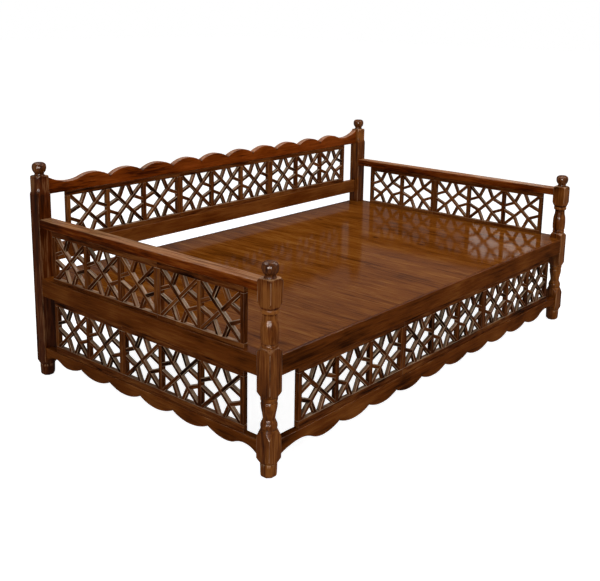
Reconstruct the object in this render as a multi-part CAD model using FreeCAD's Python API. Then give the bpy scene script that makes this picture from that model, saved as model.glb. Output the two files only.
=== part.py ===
import FreeCAD, Part
import math
import os

# A wooden daybed: four posts with turned knobs, seat rails with a boarded deck, scalloped rails,
# and lattice panels in the back, in both arms, under the front and under the left end.
# Millimetres. X runs left to right, Y front to back, Z up from the floor. The origin is on the
# floor below the middle of the daybed.

# Overall size
overall_length = 2000.0
overall_depth = 1210.0
seat_height = 391.0

# Heights of the stretches above and below the seat
seat_rail_height = 67.0
handrail_thickness = 31.0
back_gap = 51.0
back_rail_height = 63.0

# Posts
post_size = 55.0
post_edge = 1.5
post_top_bevel = 8.0
front_post_rise = 10.0
back_post_rise = 5.0
foot_height = 47.0
foot_top_width = 53.0
foot_bottom_width = 49.0
foot_round = 11.0
foot_round_steps = 3
foot_sides = 8
seat_block_rise = 21.0
seat_block_drop = 63.0
lower_block_rise = 23.0
top_block_drop = 55.0
drooping_shoulder = 14.0
rising_shoulder = 11.0
back_post_edge = 2.5
back_post_chamfer = 9.0
back_post_chamfer_height = 71.0
back_post_chamfer_stop = 14.0

# Knobs on the posts
knob_height = 49.0
knob_width = 52.0
knob_spigot_width = 16.0
knob_spigot_length = 25.0

# Seat rails and deck
long_rail_thickness = 40.0
front_lip = 12.0
side_ledge = 15.0
board_thickness = 18.0
board_count = 12
board_gap = 0.4
tongue_length = 6.0
tongue_thickness = 6.0
bearer_width = 45.0
bearer_height = 40.0
bearer_offset = 200.0
bearer_tenon_length = 22.0
bearer_tenon_thickness = 20.0
bearer_tenon_height = 26.0

# Scalloped rails, crest rail and handrails. Depths of the lower rails are measured down from
# their straight top edge, heights of the crest rail up from its straight bottom edge.
thin_rail_thickness = 28.0
thin_rail_recess = 5.0
long_scallop_count = 10
long_scallop_margin = 129.0
front_scallop_cusp = 43.0
front_scallop_depth = 62.0
front_arch_depth = 33.0
front_arch_run = 114.0
left_scallop_count = 6
left_scallop_margin = 50.5
left_scallop_cusp = 27.0
left_scallop_depth = 48.0
left_arch_depth = 30.0
left_arch_run = 76.0
lower_rail_end_depth = 52.0
crest_cusp = 36.0
crest_peak = 60.0
crest_dip = 39.5
crest_dip_run = 108.0
crest_end = 69.0
handrail_round = 6.0
handrail_lower_round = 3.0

# Lattice panels. The counts are the cells of each module, from the left or from the front.
long_cell_counts = (3, 3, 3)
left_arm_cell_counts = (2, 3)
right_arm_cell_counts = (3, 2)
left_lower_cell_counts = (3, 2)
long_panel_gap = 88.0
side_panel_gap = 62.0
cell_height = 158.0
back_frame_rail = 19.5
arm_frame_rail = 24.0
lower_frame_rail = 24.5
frame_thickness = 18.0
frame_width = 16.0
frame_recess = 10.0
frame_tenon_length = 8.0
frame_tenon_width = 8.0
frame_tenon_thickness = 6.0
bar_width = 14.0
bar_thickness = 15.0
arm_panel_sink = 10.0
dowel_width = 8.0
dowel_length = 28.0

# Joints
tenon_thickness = 14.0
tenon_setback = 13.0
tenon_wall = 3.0
tenon_inset = 6.0
cross_tenon_length = 34.0
thin_tenon_thickness = 10.0
thin_tenon_setback = 14.0
handrail_tenon_length = 30.0
fit_gap = 0.3
dowel_gap = 0.15
overrun = 2.0

# Screws that hold the boards down from below
screw_width = 4.0
screw_head_width = 8.0
screw_head_height = 4.0
screw_length = 46.0
screw_tip = 4.0
screw_sink = 1.0
screw_gap = 0.15

# Turned stretches of the front posts, from their lower end to their upper end. Each run is a
# straight line or one smooth curve through its points: share of the stretch's height, and share of
# half the post's size.
lower_turning_shares = (
    ((0.0, 0.96), (0.12, 0.95)),
    ((0.12, 0.95), (0.145, 0.89)),
    (
        (0.145, 0.89), (0.21, 0.955), (0.28, 0.93), (0.36, 0.78),
        (0.42, 0.70), (0.53, 0.76), (0.68, 0.89), (0.82, 0.96),
    ),
    ((0.82, 0.96), (0.855, 0.88)),
    ((0.855, 0.88), (0.92, 0.97), (1.0, 0.96)),
)
upper_turning_shares = (
    ((0.0, 0.95), (0.02, 0.87)),
    ((0.02, 0.87), (0.07, 0.95), (0.12, 0.87)),
    ((0.12, 0.87), (0.22, 0.98), (0.34, 1.0), (0.5, 0.93), (0.66, 0.83)),
    ((0.66, 0.83), (0.72, 0.83)),
    ((0.72, 0.83), (0.78, 0.95), (0.84, 0.84)),
    ((0.84, 0.84), (0.90, 0.88), (1.0, 0.95)),
)
# Outline of a knob: share of its height, and share of half its width
knob_outline_shares = (
    ((0.0, 0.74), (0.04, 0.74)),
    ((0.04, 0.74), (0.12, 0.67), (0.25, 0.65)),
    ((0.25, 0.65), (0.46, 0.90), (0.68, 1.0), (0.87, 0.92), (0.96, 0.76)),
    ((0.96, 0.76), (1.0, 0.55)),
    ((1.0, 0.55), (1.0, 0.0)),
)
# Where the short bars of a lattice cell start on the diagonals and end on the frame
branch_share = 0.21
landing_share = 0.08

# Places that follow from the sizes above
half_length = overall_length / 2
half_depth = overall_depth / 2
half_post = post_size / 2
post_diagonal = half_post * math.hypot(1, 1)
inner_x = half_length - post_size
inner_y = half_depth - post_size
seat_rail_bottom = seat_height - seat_rail_height
board_bottom = seat_height - board_thickness
lower_rail_top = seat_rail_bottom - 2 * lower_frame_rail - cell_height
arm_bottom = seat_height - arm_panel_sink
handrail_bottom = arm_bottom + 2 * arm_frame_rail + cell_height
handrail_top = handrail_bottom + handrail_thickness
back_rail_bottom = seat_height + back_gap
back_rail_top = back_rail_bottom + back_rail_height
crest_bottom = back_rail_top + 2 * back_frame_rail + cell_height
front_post_height = handrail_top + front_post_rise
back_post_height = crest_bottom + crest_end + back_post_rise
seat_block_top = seat_height + seat_block_rise
seat_block_bottom = seat_rail_bottom - seat_block_drop
lower_block_top = lower_rail_top + lower_block_rise
top_block_bottom = handrail_bottom - top_block_drop
long_tenon_length = post_size - tenon_setback - tenon_thickness - tenon_wall
thin_long_tenon_length = post_size - thin_tenon_setback - thin_tenon_thickness - tenon_wall
deck_half_length = inner_x + side_ledge
deck_half_depth = half_depth - front_lip
long_scallop_pitch = 2 * (inner_x - long_scallop_margin) / long_scallop_count
left_scallop_pitch = 2 * (inner_y - left_scallop_margin) / left_scallop_count


def corners(x_span, y_span, z_span):
    """Low and high corner of the box over three spans, each given in either order."""
    spans = (sorted(x_span), sorted(y_span), sorted(z_span))
    return tuple(s[0] for s in spans), tuple(s[1] for s in spans)


def box(x_span, y_span, z_span, gap=0.0):
    """Solid box over three spans, grown by a gap on every side."""
    low, high = corners(x_span, y_span, z_span)
    size = [h - l + 2 * gap for l, h in zip(low, high)]
    return Part.makeBox(size[0], size[1], size[2], FreeCAD.Vector(low[0] - gap, low[1] - gap, low[2] - gap))


def joined(pieces):
    """One solid from pieces that meet."""
    shape = pieces[0]
    for piece in pieces[1:]:
        shape = shape.fuse(piece)
    return shape.removeSplitter()


def cut_away(shape, tools):
    """The shape without any of the tools."""
    for tool in tools:
        shape = shape.cut(tool)
    return shape


def moved(shape, x=0.0, y=0.0, z=0.0):
    """A copy of the shape at another place."""
    copy = shape.copy()
    copy.translate(FreeCAD.Vector(x, y, z))
    return copy


def turned_about_z(shape, degrees):
    """A copy of the shape turned about the vertical axis."""
    copy = shape.copy()
    copy.rotate(FreeCAD.Vector(0, 0, 0), FreeCAD.Vector(0, 0, 1), degrees)
    return copy


# Posts

def turned_edges(runs, bottom, top, full_radius):
    """Outline edges of a turned stretch, as (radius, height) runs in the XZ plane."""
    edges = []
    for run in runs:
        points = [FreeCAD.Vector(r * full_radius, 0, bottom + s * (top - bottom)) for s, r in run]
        if len(points) == 2:
            edges.append(Part.LineSegment(points[0], points[1]).toShape())
        else:
            curve = Part.BSplineCurve()
            curve.interpolate(points)
            edges.append(curve.toShape())
    return edges


def straight_edges(points):
    """Outline edges through (radius, height) points in the XZ plane."""
    vectors = [FreeCAD.Vector(radius, 0, height) for radius, height in points]
    return [Part.LineSegment(a, b).toShape() for a, b in zip(vectors, vectors[1:])]


def spun(edges):
    """Solid of revolution about Z from outline edges that start and end on the axis."""
    face = Part.Face(Part.Wire(edges))
    return face.revolve(FreeCAD.Vector(0, 0, 0), FreeCAD.Vector(0, 0, 1), 360)


def edged_square(edge, bottom, top):
    """Square stick with its four long edges bevelled, centred on the Z axis."""
    flat = half_post - edge
    outline = []
    for quarter in range(4):
        angle = math.radians(90 * quarter)
        for x, y in ((half_post, -flat), (half_post, flat)):
            turned_x = x * math.cos(angle) - y * math.sin(angle)
            turned_y = x * math.sin(angle) + y * math.cos(angle)
            outline.append(FreeCAD.Vector(turned_x, turned_y, bottom))
    face = Part.Face(Part.makePolygon(outline + outline[:1]))
    return face.extrude(FreeCAD.Vector(0, 0, top - bottom))


def foot():
    """Eight-sided tapered foot with a rounded lower edge."""
    rings = []
    for step in range(foot_round_steps + 1):
        angle = math.pi / 2 * step / foot_round_steps
        width = foot_bottom_width - 2 * foot_round * (1 - math.sin(angle))
        rings.append((foot_round * (1 - math.cos(angle)), width))
    rings.append((foot_height, foot_top_width))
    wires = []
    for height, width in rings:
        reach = width / 2 / math.cos(math.pi / foot_sides)
        points = []
        for side in range(foot_sides):
            angle = 2 * math.pi * (side + 0.5) / foot_sides
            points.append(FreeCAD.Vector(reach * math.cos(angle), reach * math.sin(angle), height))
        wires.append(Part.makePolygon(points + points[:1]))
    return Part.makeLoft(wires, True, True)


def spigot_hole(post_height):
    """Hole in the top of a post for a knob's spigot."""
    radius = knob_spigot_width / 2 + fit_gap
    depth = knob_spigot_length + fit_gap
    start = FreeCAD.Vector(0, 0, post_height - depth)
    return Part.makeCylinder(radius, depth + overrun, start)


def front_post():
    """Turned front post on the Z axis: three square blocks with turned stretches between them."""
    lower_edge = lower_turning_shares[0][0][1] * half_post
    upper_edge = upper_turning_shares[0][0][1] * half_post
    edges = straight_edges((
        (0, foot_height),
        (lower_edge, foot_height),
        (post_diagonal, foot_height + drooping_shoulder),
        (post_diagonal, lower_block_top - rising_shoulder),
        (lower_edge, lower_block_top),
    ))
    edges += turned_edges(lower_turning_shares, lower_block_top, seat_block_bottom, half_post)
    edges += straight_edges((
        (lower_edge, seat_block_bottom),
        (post_diagonal, seat_block_bottom + drooping_shoulder),
        (post_diagonal, seat_block_top - rising_shoulder),
        (upper_edge, seat_block_top),
    ))
    edges += turned_edges(upper_turning_shares, seat_block_top, top_block_bottom, half_post)
    edges += straight_edges((
        (upper_edge, top_block_bottom),
        (post_diagonal, top_block_bottom + drooping_shoulder),
        (post_diagonal, front_post_height - post_top_bevel),
        (post_diagonal - post_top_bevel, front_post_height),
        (0, front_post_height),
        (0, foot_height),
    ))
    stick = edged_square(post_edge, foot_height, front_post_height)
    body = spun(edges).common(stick)
    return joined([body, foot()]).cut(spigot_hole(front_post_height))


def corner_chamfer(quarter):
    """Tool that bevels one corner of a back post's head, ending in a pointed stop."""
    cut_reach = post_diagonal - back_post_chamfer / math.hypot(1, 1)
    start = back_post_height - back_post_chamfer_height
    top = back_post_height + overrun
    outline = [
        FreeCAD.Vector(cut_reach, 0, top),
        FreeCAD.Vector(cut_reach, 0, start + back_post_chamfer_stop),
        FreeCAD.Vector(post_diagonal, 0, start),
        FreeCAD.Vector(post_diagonal + overrun, 0, start),
        FreeCAD.Vector(post_diagonal + overrun, 0, top),
    ]
    face = Part.Face(Part.makePolygon(outline + outline[:1]))
    tool = moved(face.extrude(FreeCAD.Vector(0, post_size, 0)), y=-half_post)
    return turned_about_z(tool, 45 + 90 * quarter)


def back_post():
    """Square back post on the Z axis with a chamfered head."""
    lower_edge = lower_turning_shares[0][0][1] * half_post
    edges = straight_edges((
        (0, foot_height),
        (lower_edge, foot_height),
        (post_diagonal, foot_height + drooping_shoulder),
        (post_diagonal, back_post_height - post_top_bevel),
        (post_diagonal - post_top_bevel, back_post_height),
        (0, back_post_height),
        (0, foot_height),
    ))
    stick = edged_square(back_post_edge, foot_height, back_post_height)
    body = spun(edges).common(stick)
    body = cut_away(body, [corner_chamfer(quarter) for quarter in range(4)])
    return joined([body, foot()]).cut(spigot_hole(back_post_height))


def knob():
    """Turned knob with its spigot, its seat at height 0."""
    half_width = knob_width / 2
    seat_radius = knob_outline_shares[0][0][1] * half_width
    edges = straight_edges((
        (0, -knob_spigot_length),
        (knob_spigot_width / 2, -knob_spigot_length),
        (knob_spigot_width / 2, 0),
        (seat_radius, 0),
    ))
    edges += turned_edges(knob_outline_shares, 0.0, knob_height, half_width)
    edges += straight_edges(((0, knob_height), (0, -knob_spigot_length)))
    return spun(edges)


# Rails. A side is -1 at the front or left and +1 at the back or right.

def outer_band(half_size, side, recess, thickness):
    """Span across a rail that lies a recess inside the outer face of the posts."""
    return side * (half_size - recess), side * (half_size - recess - thickness)


def long_tenons(side, setback, thickness, length, z_span):
    """Spans of the two tenons of a rail that runs left to right."""
    y_span = outer_band(half_depth, side, setback, thickness)
    return [((end * inner_x, end * (inner_x + length)), y_span, z_span) for end in (-1, 1)]


def cross_tenons(side, setback, thickness, length, z_span):
    """Spans of the two tenons of a rail that runs front to back."""
    x_span = outer_band(half_length, side, setback, thickness)
    return [(x_span, (end * inner_y, end * (inner_y + length)), z_span) for end in (-1, 1)]


def with_tenons(rail, tenons):
    """The rail with its tenons."""
    return joined([rail] + [box(*spans) for spans in tenons])


def level_arc(level, other):
    """Arc in the XZ plane that leaves its level point flat and runs to the other point."""
    run = other[0] - level[0]
    rise = other[1] - level[1]
    radius = (run * run + rise * rise) / (2 * rise)
    half_turn = math.asin(run / radius) / 2
    middle = (level[0] + radius * math.sin(half_turn), level[1] + radius * (1 - math.cos(half_turn)))
    points = [FreeCAD.Vector(p[0], 0, p[1]) for p in (level, middle, other)]
    return Part.Arc(*points).toShape()


def scallop_edges(count, pitch, cusp, peak, level, level_run, end, end_height):
    """Wavy edge from -end to +end: scallops with an S-curve and a cove at each end."""
    first_peak = -(count - 1) * pitch / 2
    edges = []
    for peak_x, outward in ((first_peak, -1), (-first_peak, 1)):
        level_x = peak_x + outward * level_run
        middle = ((peak_x + level_x) / 2, (peak + level) / 2)
        edges.append(level_arc((level_x, level), (outward * end, end_height)))
        edges.append(level_arc((level_x, level), middle))
        edges.append(level_arc((peak_x, peak), middle))
        edges.append(level_arc((peak_x, peak), (peak_x - outward * pitch / 2, cusp)))
    for scallop in range(1, count - 1):
        middle = first_peak + scallop * pitch
        points = ((middle - pitch / 2, cusp), (middle, peak), (middle + pitch / 2, cusp))
        edges.append(Part.Arc(*[FreeCAD.Vector(x, 0, z) for x, z in points]).toShape())
    return edges


def scalloped_rail(edges, end, end_height, plain_height):
    """Rail along X over its wavy edge and a straight edge, its first face on the XZ plane."""
    outline = list(edges)
    corners_xz = ((-end, end_height), (-end, plain_height), (end, plain_height), (end, end_height))
    for a, b in zip(corners_xz, corners_xz[1:]):
        start, end_point = FreeCAD.Vector(a[0], 0, a[1]), FreeCAD.Vector(b[0], 0, b[1])
        outline.append(Part.LineSegment(start, end_point).toShape())
    wire = Part.Wire(Part.sortEdges(outline)[0])
    return Part.Face(wire).extrude(FreeCAD.Vector(0, thin_rail_thickness, 0))


def long_seat_rail(side, tenons):
    """Front or back seat rail with the rebate that the board ends lie in."""
    y_span = outer_band(half_depth, side, 0.0, long_rail_thickness)
    rail = box((-inner_x, inner_x), y_span, (seat_rail_bottom, seat_height))
    ledge_y = (side * (deck_half_depth + fit_gap), side * (half_depth - long_rail_thickness - overrun))
    x_span = (-inner_x - overrun, inner_x + overrun)
    rebate = box(x_span, ledge_y, (board_bottom, seat_height + overrun))
    return with_tenons(rail.cut(rebate), tenons)


def cross_seat_rail(side, tenons, bearer_mortises):
    """Left or right seat rail: a ledge for the outer board, a groove for the arm's lattice."""
    x_span = outer_band(half_length, side, 0.0, post_size)
    rail = box(x_span, (-inner_y, inner_y), (seat_rail_bottom, seat_height))
    long_y = (-inner_y - overrun, inner_y + overrun)
    ledge_x = (side * (deck_half_length + fit_gap), side * (inner_x - overrun))
    ledge = box(ledge_x, long_y, (board_bottom, seat_height + overrun))
    panel_end = inner_y - side_panel_gap + fit_gap
    groove_x = outer_band(half_length, side, frame_recess - fit_gap, frame_thickness + 2 * fit_gap)
    groove = box(groove_x, (-panel_end, panel_end), (seat_height - arm_panel_sink, seat_height + overrun))
    return with_tenons(cut_away(rail, [ledge, groove] + bearer_mortises), tenons)


def handrail(side, tenons):
    """Arm rail with rounded long edges."""
    x_span = outer_band(half_length, side, 0.0, post_size)
    rail = box(x_span, (-inner_y, inner_y), (handrail_bottom, handrail_top))
    long_edges = [e for e in rail.Edges if abs(e.BoundBox.YLength - 2 * inner_y) < fit_gap]
    upper = [e for e in long_edges if e.BoundBox.ZMin > (handrail_bottom + handrail_top) / 2]
    rail = rail.makeFillet(handrail_round, upper)
    long_edges = [e for e in rail.Edges if abs(e.BoundBox.YLength - 2 * inner_y) < fit_gap]
    lower = [e for e in long_edges if e.BoundBox.ZMax < handrail_bottom + fit_gap]
    rail = rail.makeFillet(handrail_lower_round, lower)
    return with_tenons(rail, tenons)


# Deck

def deck_board(number):
    """One board, front to back, with a groove on its left edge and a tongue on its right."""
    width = 2 * deck_half_length / board_count
    left = -deck_half_length + number * width
    right = left + width
    first = number == 0
    last = number == board_count - 1
    middle = board_bottom + board_thickness / 2
    y_span = (-deck_half_depth, deck_half_depth)
    left_face = left if first else left + board_gap / 2
    right_face = right if last else right - board_gap / 2
    board = box((left_face, right_face), y_span, (board_bottom, seat_height))
    if not last:
        tongue_z = (middle - tongue_thickness / 2, middle + tongue_thickness / 2)
        board = joined([board, box((right_face, right_face + tongue_length), y_span, tongue_z)])
    if not first:
        half_groove = tongue_thickness / 2 + fit_gap
        groove_x = (left_face - overrun, left_face + tongue_length)
        groove_y = (-deck_half_depth - overrun, deck_half_depth + overrun)
        board = board.cut(box(groove_x, groove_y, (middle - half_groove, middle + half_groove)))
    for side_x in (-1, 1):
        for side_y in (-1, 1):
            x_span = (side_x * (inner_x - fit_gap), side_x * half_length)
            y_notch = (side_y * (inner_y - fit_gap), side_y * half_depth)
            board = board.cut(box(x_span, y_notch, (board_bottom - overrun, seat_height + overrun)))
    pilots = [screw_hole(left + width / 2, side * bearer_offset, screw_gap) for side in (-1, 1)]
    return cut_away(board, pilots)


def screw_hole(x, y, gap):
    """A screw's own shape, grown by a gap, head down in the underside of a bearer."""
    head = board_bottom - bearer_height + screw_sink
    shank = screw_width / 2 + gap
    head_radius = screw_head_width / 2 + gap
    tip = head + screw_length
    opening = head - (screw_sink + overrun if gap else 0.0)
    outline = [
        (0, opening),
        (head_radius, opening),
        (head_radius, head),
        (shank, head + screw_head_height),
        (shank, tip - screw_tip),
        (0, tip + gap),
        (0, opening),
    ]
    if not gap:
        outline.pop(1)
    return moved(spun(straight_edges(outline)), x, y)


def bearer_tenon(side, end):
    """Spans of one tenon of a bearer in a side rail."""
    y_middle = side * bearer_offset
    z_middle = board_bottom - bearer_height / 2
    half_thickness = bearer_tenon_thickness / 2
    return (
        (end * inner_x, end * (inner_x + bearer_tenon_length)),
        (y_middle - half_thickness, y_middle + half_thickness),
        (z_middle - bearer_tenon_height / 2, z_middle + bearer_tenon_height / 2),
    )


def bearer(side, board_middles):
    """Bearer under the boards, left to right, tenoned into the side rails."""
    y_span = (side * bearer_offset - bearer_width / 2, side * bearer_offset + bearer_width / 2)
    stick = box((-inner_x, inner_x), y_span, (board_bottom - bearer_height, board_bottom))
    stick = with_tenons(stick, [bearer_tenon(side, end) for end in (-1, 1)])
    return cut_away(stick, [screw_hole(x, side * bearer_offset, screw_gap) for x in board_middles])


# Lattice panels. A module is first made standing on the XZ plane's origin, centred on y = 0.

def sloping_bar(start, end, start_extra, end_extra, thickness):
    """Straight bar in the XZ plane between two points, longer at each end by an extra."""
    run = end[0] - start[0]
    rise = end[1] - start[1]
    length = math.hypot(run, rise)
    bar = Part.makeBox(
        length + start_extra + end_extra, thickness, bar_width,
        FreeCAD.Vector(-start_extra, -thickness / 2, -bar_width / 2),
    )
    bar.rotate(FreeCAD.Vector(0, 0, 0), FreeCAD.Vector(0, 1, 0), -math.degrees(math.atan2(rise, run)))
    return moved(bar, start[0], 0, start[1])


def cell_bars(width):
    """The ten bars of one lattice cell centred on the origin: two diagonals lapped at the middle,
    and eight short bars from the diagonals to the frame."""
    half_w = width / 2
    half_h = cell_height / 2
    opening = box((-half_w, half_w), (-bar_thickness, bar_thickness), (-half_h, half_h))
    diagonals = []
    for lean in (-1, 1):
        start = (-half_w, -lean * half_h)
        end = (half_w, lean * half_h)
        diagonals.append(sloping_bar(start, end, bar_width, bar_width, bar_thickness).common(opening))
    reach = 2 * bar_width
    lap = box((-reach, reach), (0, -bar_thickness), (-reach, reach))
    other_lap = box((-reach, reach), (0, bar_thickness), (-reach, reach))
    lapped = [
        diagonals[0].cut(diagonals[1].common(lap)),
        diagonals[1].cut(diagonals[0].common(other_lap)),
    ]
    short_bars = []
    for side_x in (-1, 1):
        for side_z in (-1, 1):
            branch = (side_x * branch_share * width, side_z * branch_share * cell_height)
            landings = (
                (side_x * landing_share * width, side_z * half_h),
                (side_x * half_w, side_z * landing_share * cell_height),
            )
            for landing in landings:
                bar = sloping_bar(branch, landing, 0.0, bar_width, bar_thickness).common(opening)
                short_bars.append(cut_away(bar, diagonals))
    return lapped + short_bars


def frame_module(cells, cell_width, rail_height):
    """Frame of one lattice module: two rails with mortises, and uprights tenoned into them."""
    length = cells * cell_width + (cells + 1) * frame_width
    half_t = frame_thickness / 2
    half_tenon = frame_tenon_thickness / 2
    total = cell_height + 2 * rail_height
    lower = box((0, length), (-half_t, half_t), (0, rail_height))
    upper = box((0, length), (-half_t, half_t), (total - rail_height, total))
    uprights = []
    for number in range(cells + 1):
        left = number * (cell_width + frame_width)
        x_span = (left, left + frame_width)
        middle = left + frame_width / 2
        tenon_x = (middle - frame_tenon_width / 2, middle + frame_tenon_width / 2)
        tenon_y = (-half_tenon, half_tenon)
        tenon_z = (rail_height - frame_tenon_length, total - rail_height + frame_tenon_length)
        upright = box(x_span, (-half_t, half_t), (rail_height, total - rail_height))
        uprights.append(joined([upright, box(tenon_x, tenon_y, tenon_z)]))
        mortise = box(tenon_x, tenon_y, tenon_z, fit_gap)
        lower = lower.cut(mortise)
        upper = upper.cut(mortise)
    return [lower, upper] + uprights


def module_bars(cells, cell_width, rail_height, one_cell):
    """The bars of every cell of one lattice module."""
    bars = []
    for number in range(cells):
        x = frame_width + cell_width / 2 + number * (cell_width + frame_width)
        bars += [moved(bar, x, 0, rail_height + cell_height / 2) for bar in one_cell]
    return bars


def dowel_at(centre, gap):
    """Upright dowel, or its hole when it is grown by a gap, centred on a joint."""
    length = dowel_length + 2 * gap
    start = FreeCAD.Vector(centre[0], centre[1], centre[2] - length / 2)
    return Part.makeCylinder(dowel_width / 2 + gap, length, start)


def cell_width_of(modules, panel_length):
    """Width of one cell of a panel that is made of modules side by side."""
    uprights = sum(modules) + len(modules)
    return (panel_length - uprights * frame_width) / sum(modules)


def lattice_panel(modules, along_x, gap, across, bottom, top):
    """Every module of one panel. Gives frames, bars and dowel centres, module by module.

    gap is the space between the panel and the posts, across is the panel's middle plane."""
    rail_height = (top - bottom - cell_height) / 2
    panel_length = 2 * ((inner_x if along_x else inner_y) - gap)
    cell_width = cell_width_of(modules, panel_length)
    one_cell = cell_bars(cell_width)
    frames, bars, centres = [], [], []
    offset = -panel_length / 2
    for cells in modules:
        frame = frame_module(cells, cell_width, rail_height)
        inner = module_bars(cells, cell_width, rail_height, one_cell)
        length = cells * cell_width + (cells + 1) * frame_width
        ends = (frame_width + cell_width / 2, length - frame_width - cell_width / 2)
        if along_x:
            places = [(offset + end, across) for end in ends]
            frame = [moved(piece, offset, across, bottom) for piece in frame]
            inner = [moved(piece, offset, across, bottom) for piece in inner]
        else:
            places = [(across, offset + end) for end in ends]
            frame = [moved(turned_about_z(piece, 90), across, offset, bottom) for piece in frame]
            inner = [moved(turned_about_z(piece, 90), across, offset, bottom) for piece in inner]
        module_centres = [(x, y, z) for x, y in places for z in (bottom, top)]
        holes = [dowel_at(centre, dowel_gap) for centre in module_centres]
        frames.append([cut_away(piece, holes) for piece in frame[:2]] + frame[2:])
        bars.append(inner)
        centres += module_centres
        offset += length
    return frames, bars, centres


def dowel_holes(centres, height):
    """Holes in a rail for the dowels that cross its edge at a height."""
    return [dowel_at(centre, dowel_gap) for centre in centres if centre[2] == height]


# Build
nodes = {}

seat_tenon_z = (seat_rail_bottom + tenon_inset, board_bottom - tenon_inset)
lower_tenon_z = (lower_rail_top - front_arch_depth + tenon_inset, lower_rail_top - tenon_inset)
back_rail_tenon_z = (back_rail_bottom + tenon_inset, back_rail_top - tenon_inset)
crest_tenon_z = (crest_bottom + tenon_inset, crest_bottom + crest_dip - tenon_inset)
handrail_tenon_z = (handrail_bottom + tenon_inset, handrail_top - tenon_inset)

tenons = {
    "front_seat_rail": long_tenons(-1, tenon_setback, tenon_thickness, long_tenon_length, seat_tenon_z),
    "back_seat_rail": long_tenons(1, tenon_setback, tenon_thickness, long_tenon_length, seat_tenon_z),
    "left_seat_rail": cross_tenons(-1, tenon_setback, tenon_thickness, cross_tenon_length, seat_tenon_z),
    "right_seat_rail": cross_tenons(1, tenon_setback, tenon_thickness, cross_tenon_length, seat_tenon_z),
    "front_scalloped_rail": long_tenons(
        -1, thin_tenon_setback, thin_tenon_thickness, thin_long_tenon_length, lower_tenon_z),
    "left_scalloped_rail": cross_tenons(
        -1, thin_tenon_setback, thin_tenon_thickness, cross_tenon_length, lower_tenon_z),
    "back_bottom_rail": long_tenons(
        1, thin_tenon_setback, thin_tenon_thickness, thin_long_tenon_length, back_rail_tenon_z),
    "crest_rail": long_tenons(
        1, thin_tenon_setback, thin_tenon_thickness, thin_long_tenon_length, crest_tenon_z),
    "left_handrail": cross_tenons(
        -1, tenon_setback, tenon_thickness, handrail_tenon_length, handrail_tenon_z),
    "right_handrail": cross_tenons(
        1, tenon_setback, tenon_thickness, handrail_tenon_length, handrail_tenon_z),
}
mortises = [box(*spans, fit_gap) for rail_tenons in tenons.values() for spans in rail_tenons]

# Posts and their knobs
posts = {
    "front_left": (-1, -1, front_post(), front_post_height),
    "front_right": (1, -1, front_post(), front_post_height),
    "back_left": (-1, 1, back_post(), back_post_height),
    "back_right": (1, 1, back_post(), back_post_height),
}
for place, (side_x, side_y, stick, height) in posts.items():
    x = side_x * (half_length - half_post)
    y = side_y * (half_depth - half_post)
    standing = moved(stick, x, y)
    reachable = [m for m in mortises if m.BoundBox.intersect(standing.BoundBox)]
    nodes[place + "_post"] = cut_away(standing, reachable)
    nodes[place + "_knob"] = moved(knob(), x, y, height)

# Lattice panels
panel_middle = frame_recess + frame_thickness / 2
left_x = panel_middle - half_length
panels = {
    "back_lattice": (
        long_cell_counts, True, long_panel_gap, half_depth - panel_middle, back_rail_top, crest_bottom),
    "front_lattice": (
        long_cell_counts, True, long_panel_gap, panel_middle - half_depth, lower_rail_top, seat_rail_bottom),
    "left_arm_lattice": (left_arm_cell_counts, False, side_panel_gap, left_x, arm_bottom, handrail_bottom),
    "right_arm_lattice": (right_arm_cell_counts, False, side_panel_gap, -left_x, arm_bottom, handrail_bottom),
    "left_lower_lattice": (
        left_lower_cell_counts, False, side_panel_gap, left_x, lower_rail_top, seat_rail_bottom),
}
module_names = {3: ("left", "middle", "right"), 2: ("front", "back")}
dowel_centres = {}
for panel, (modules, along_x, gap, across, bottom, top) in panels.items():
    frames, bars, centres = lattice_panel(modules, along_x, gap, across, bottom, top)
    dowel_centres[panel] = centres
    for name, frame, inner in zip(module_names[len(modules)], frames, bars):
        nodes[panel + "_" + name + "_frame"] = Part.makeCompound(frame)
        nodes[panel + "_" + name + "_bars"] = Part.makeCompound(inner)
all_centres = [centre for centres in dowel_centres.values() for centre in centres]
nodes["lattice_dowels"] = Part.makeCompound([dowel_at(centre, 0.0) for centre in all_centres])

# Seat rails
bearer_mortises = {
    side: [box(*bearer_tenon(row, side), fit_gap) for row in (-1, 1)] for side in (-1, 1)
}
front_seat = long_seat_rail(-1, tenons["front_seat_rail"])
nodes["front_seat_rail"] = cut_away(front_seat, dowel_holes(dowel_centres["front_lattice"], seat_rail_bottom))
nodes["back_seat_rail"] = long_seat_rail(1, tenons["back_seat_rail"])
left_seat = cross_seat_rail(-1, tenons["left_seat_rail"], bearer_mortises[-1])
left_holes = dowel_holes(dowel_centres["left_arm_lattice"], arm_bottom)
left_holes += dowel_holes(dowel_centres["left_lower_lattice"], seat_rail_bottom)
nodes["left_seat_rail"] = cut_away(left_seat, left_holes)
right_seat = cross_seat_rail(1, tenons["right_seat_rail"], bearer_mortises[1])
nodes["right_seat_rail"] = cut_away(right_seat, dowel_holes(dowel_centres["right_arm_lattice"], arm_bottom))

# Scalloped rails, crest rail, plain back rail
lower_rail_end = lower_rail_top - lower_rail_end_depth
front_edges = scallop_edges(
    long_scallop_count, long_scallop_pitch, lower_rail_top - front_scallop_cusp,
    lower_rail_top - front_scallop_depth, lower_rail_top - front_arch_depth,
    front_arch_run, inner_x, lower_rail_end)
front_rail = scalloped_rail(front_edges, inner_x, lower_rail_end, lower_rail_top)
front_rail = moved(front_rail, y=thin_rail_recess - half_depth)
front_rail = with_tenons(front_rail, tenons["front_scalloped_rail"])
nodes["front_scalloped_rail"] = cut_away(
    front_rail, dowel_holes(dowel_centres["front_lattice"], lower_rail_top))

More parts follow.
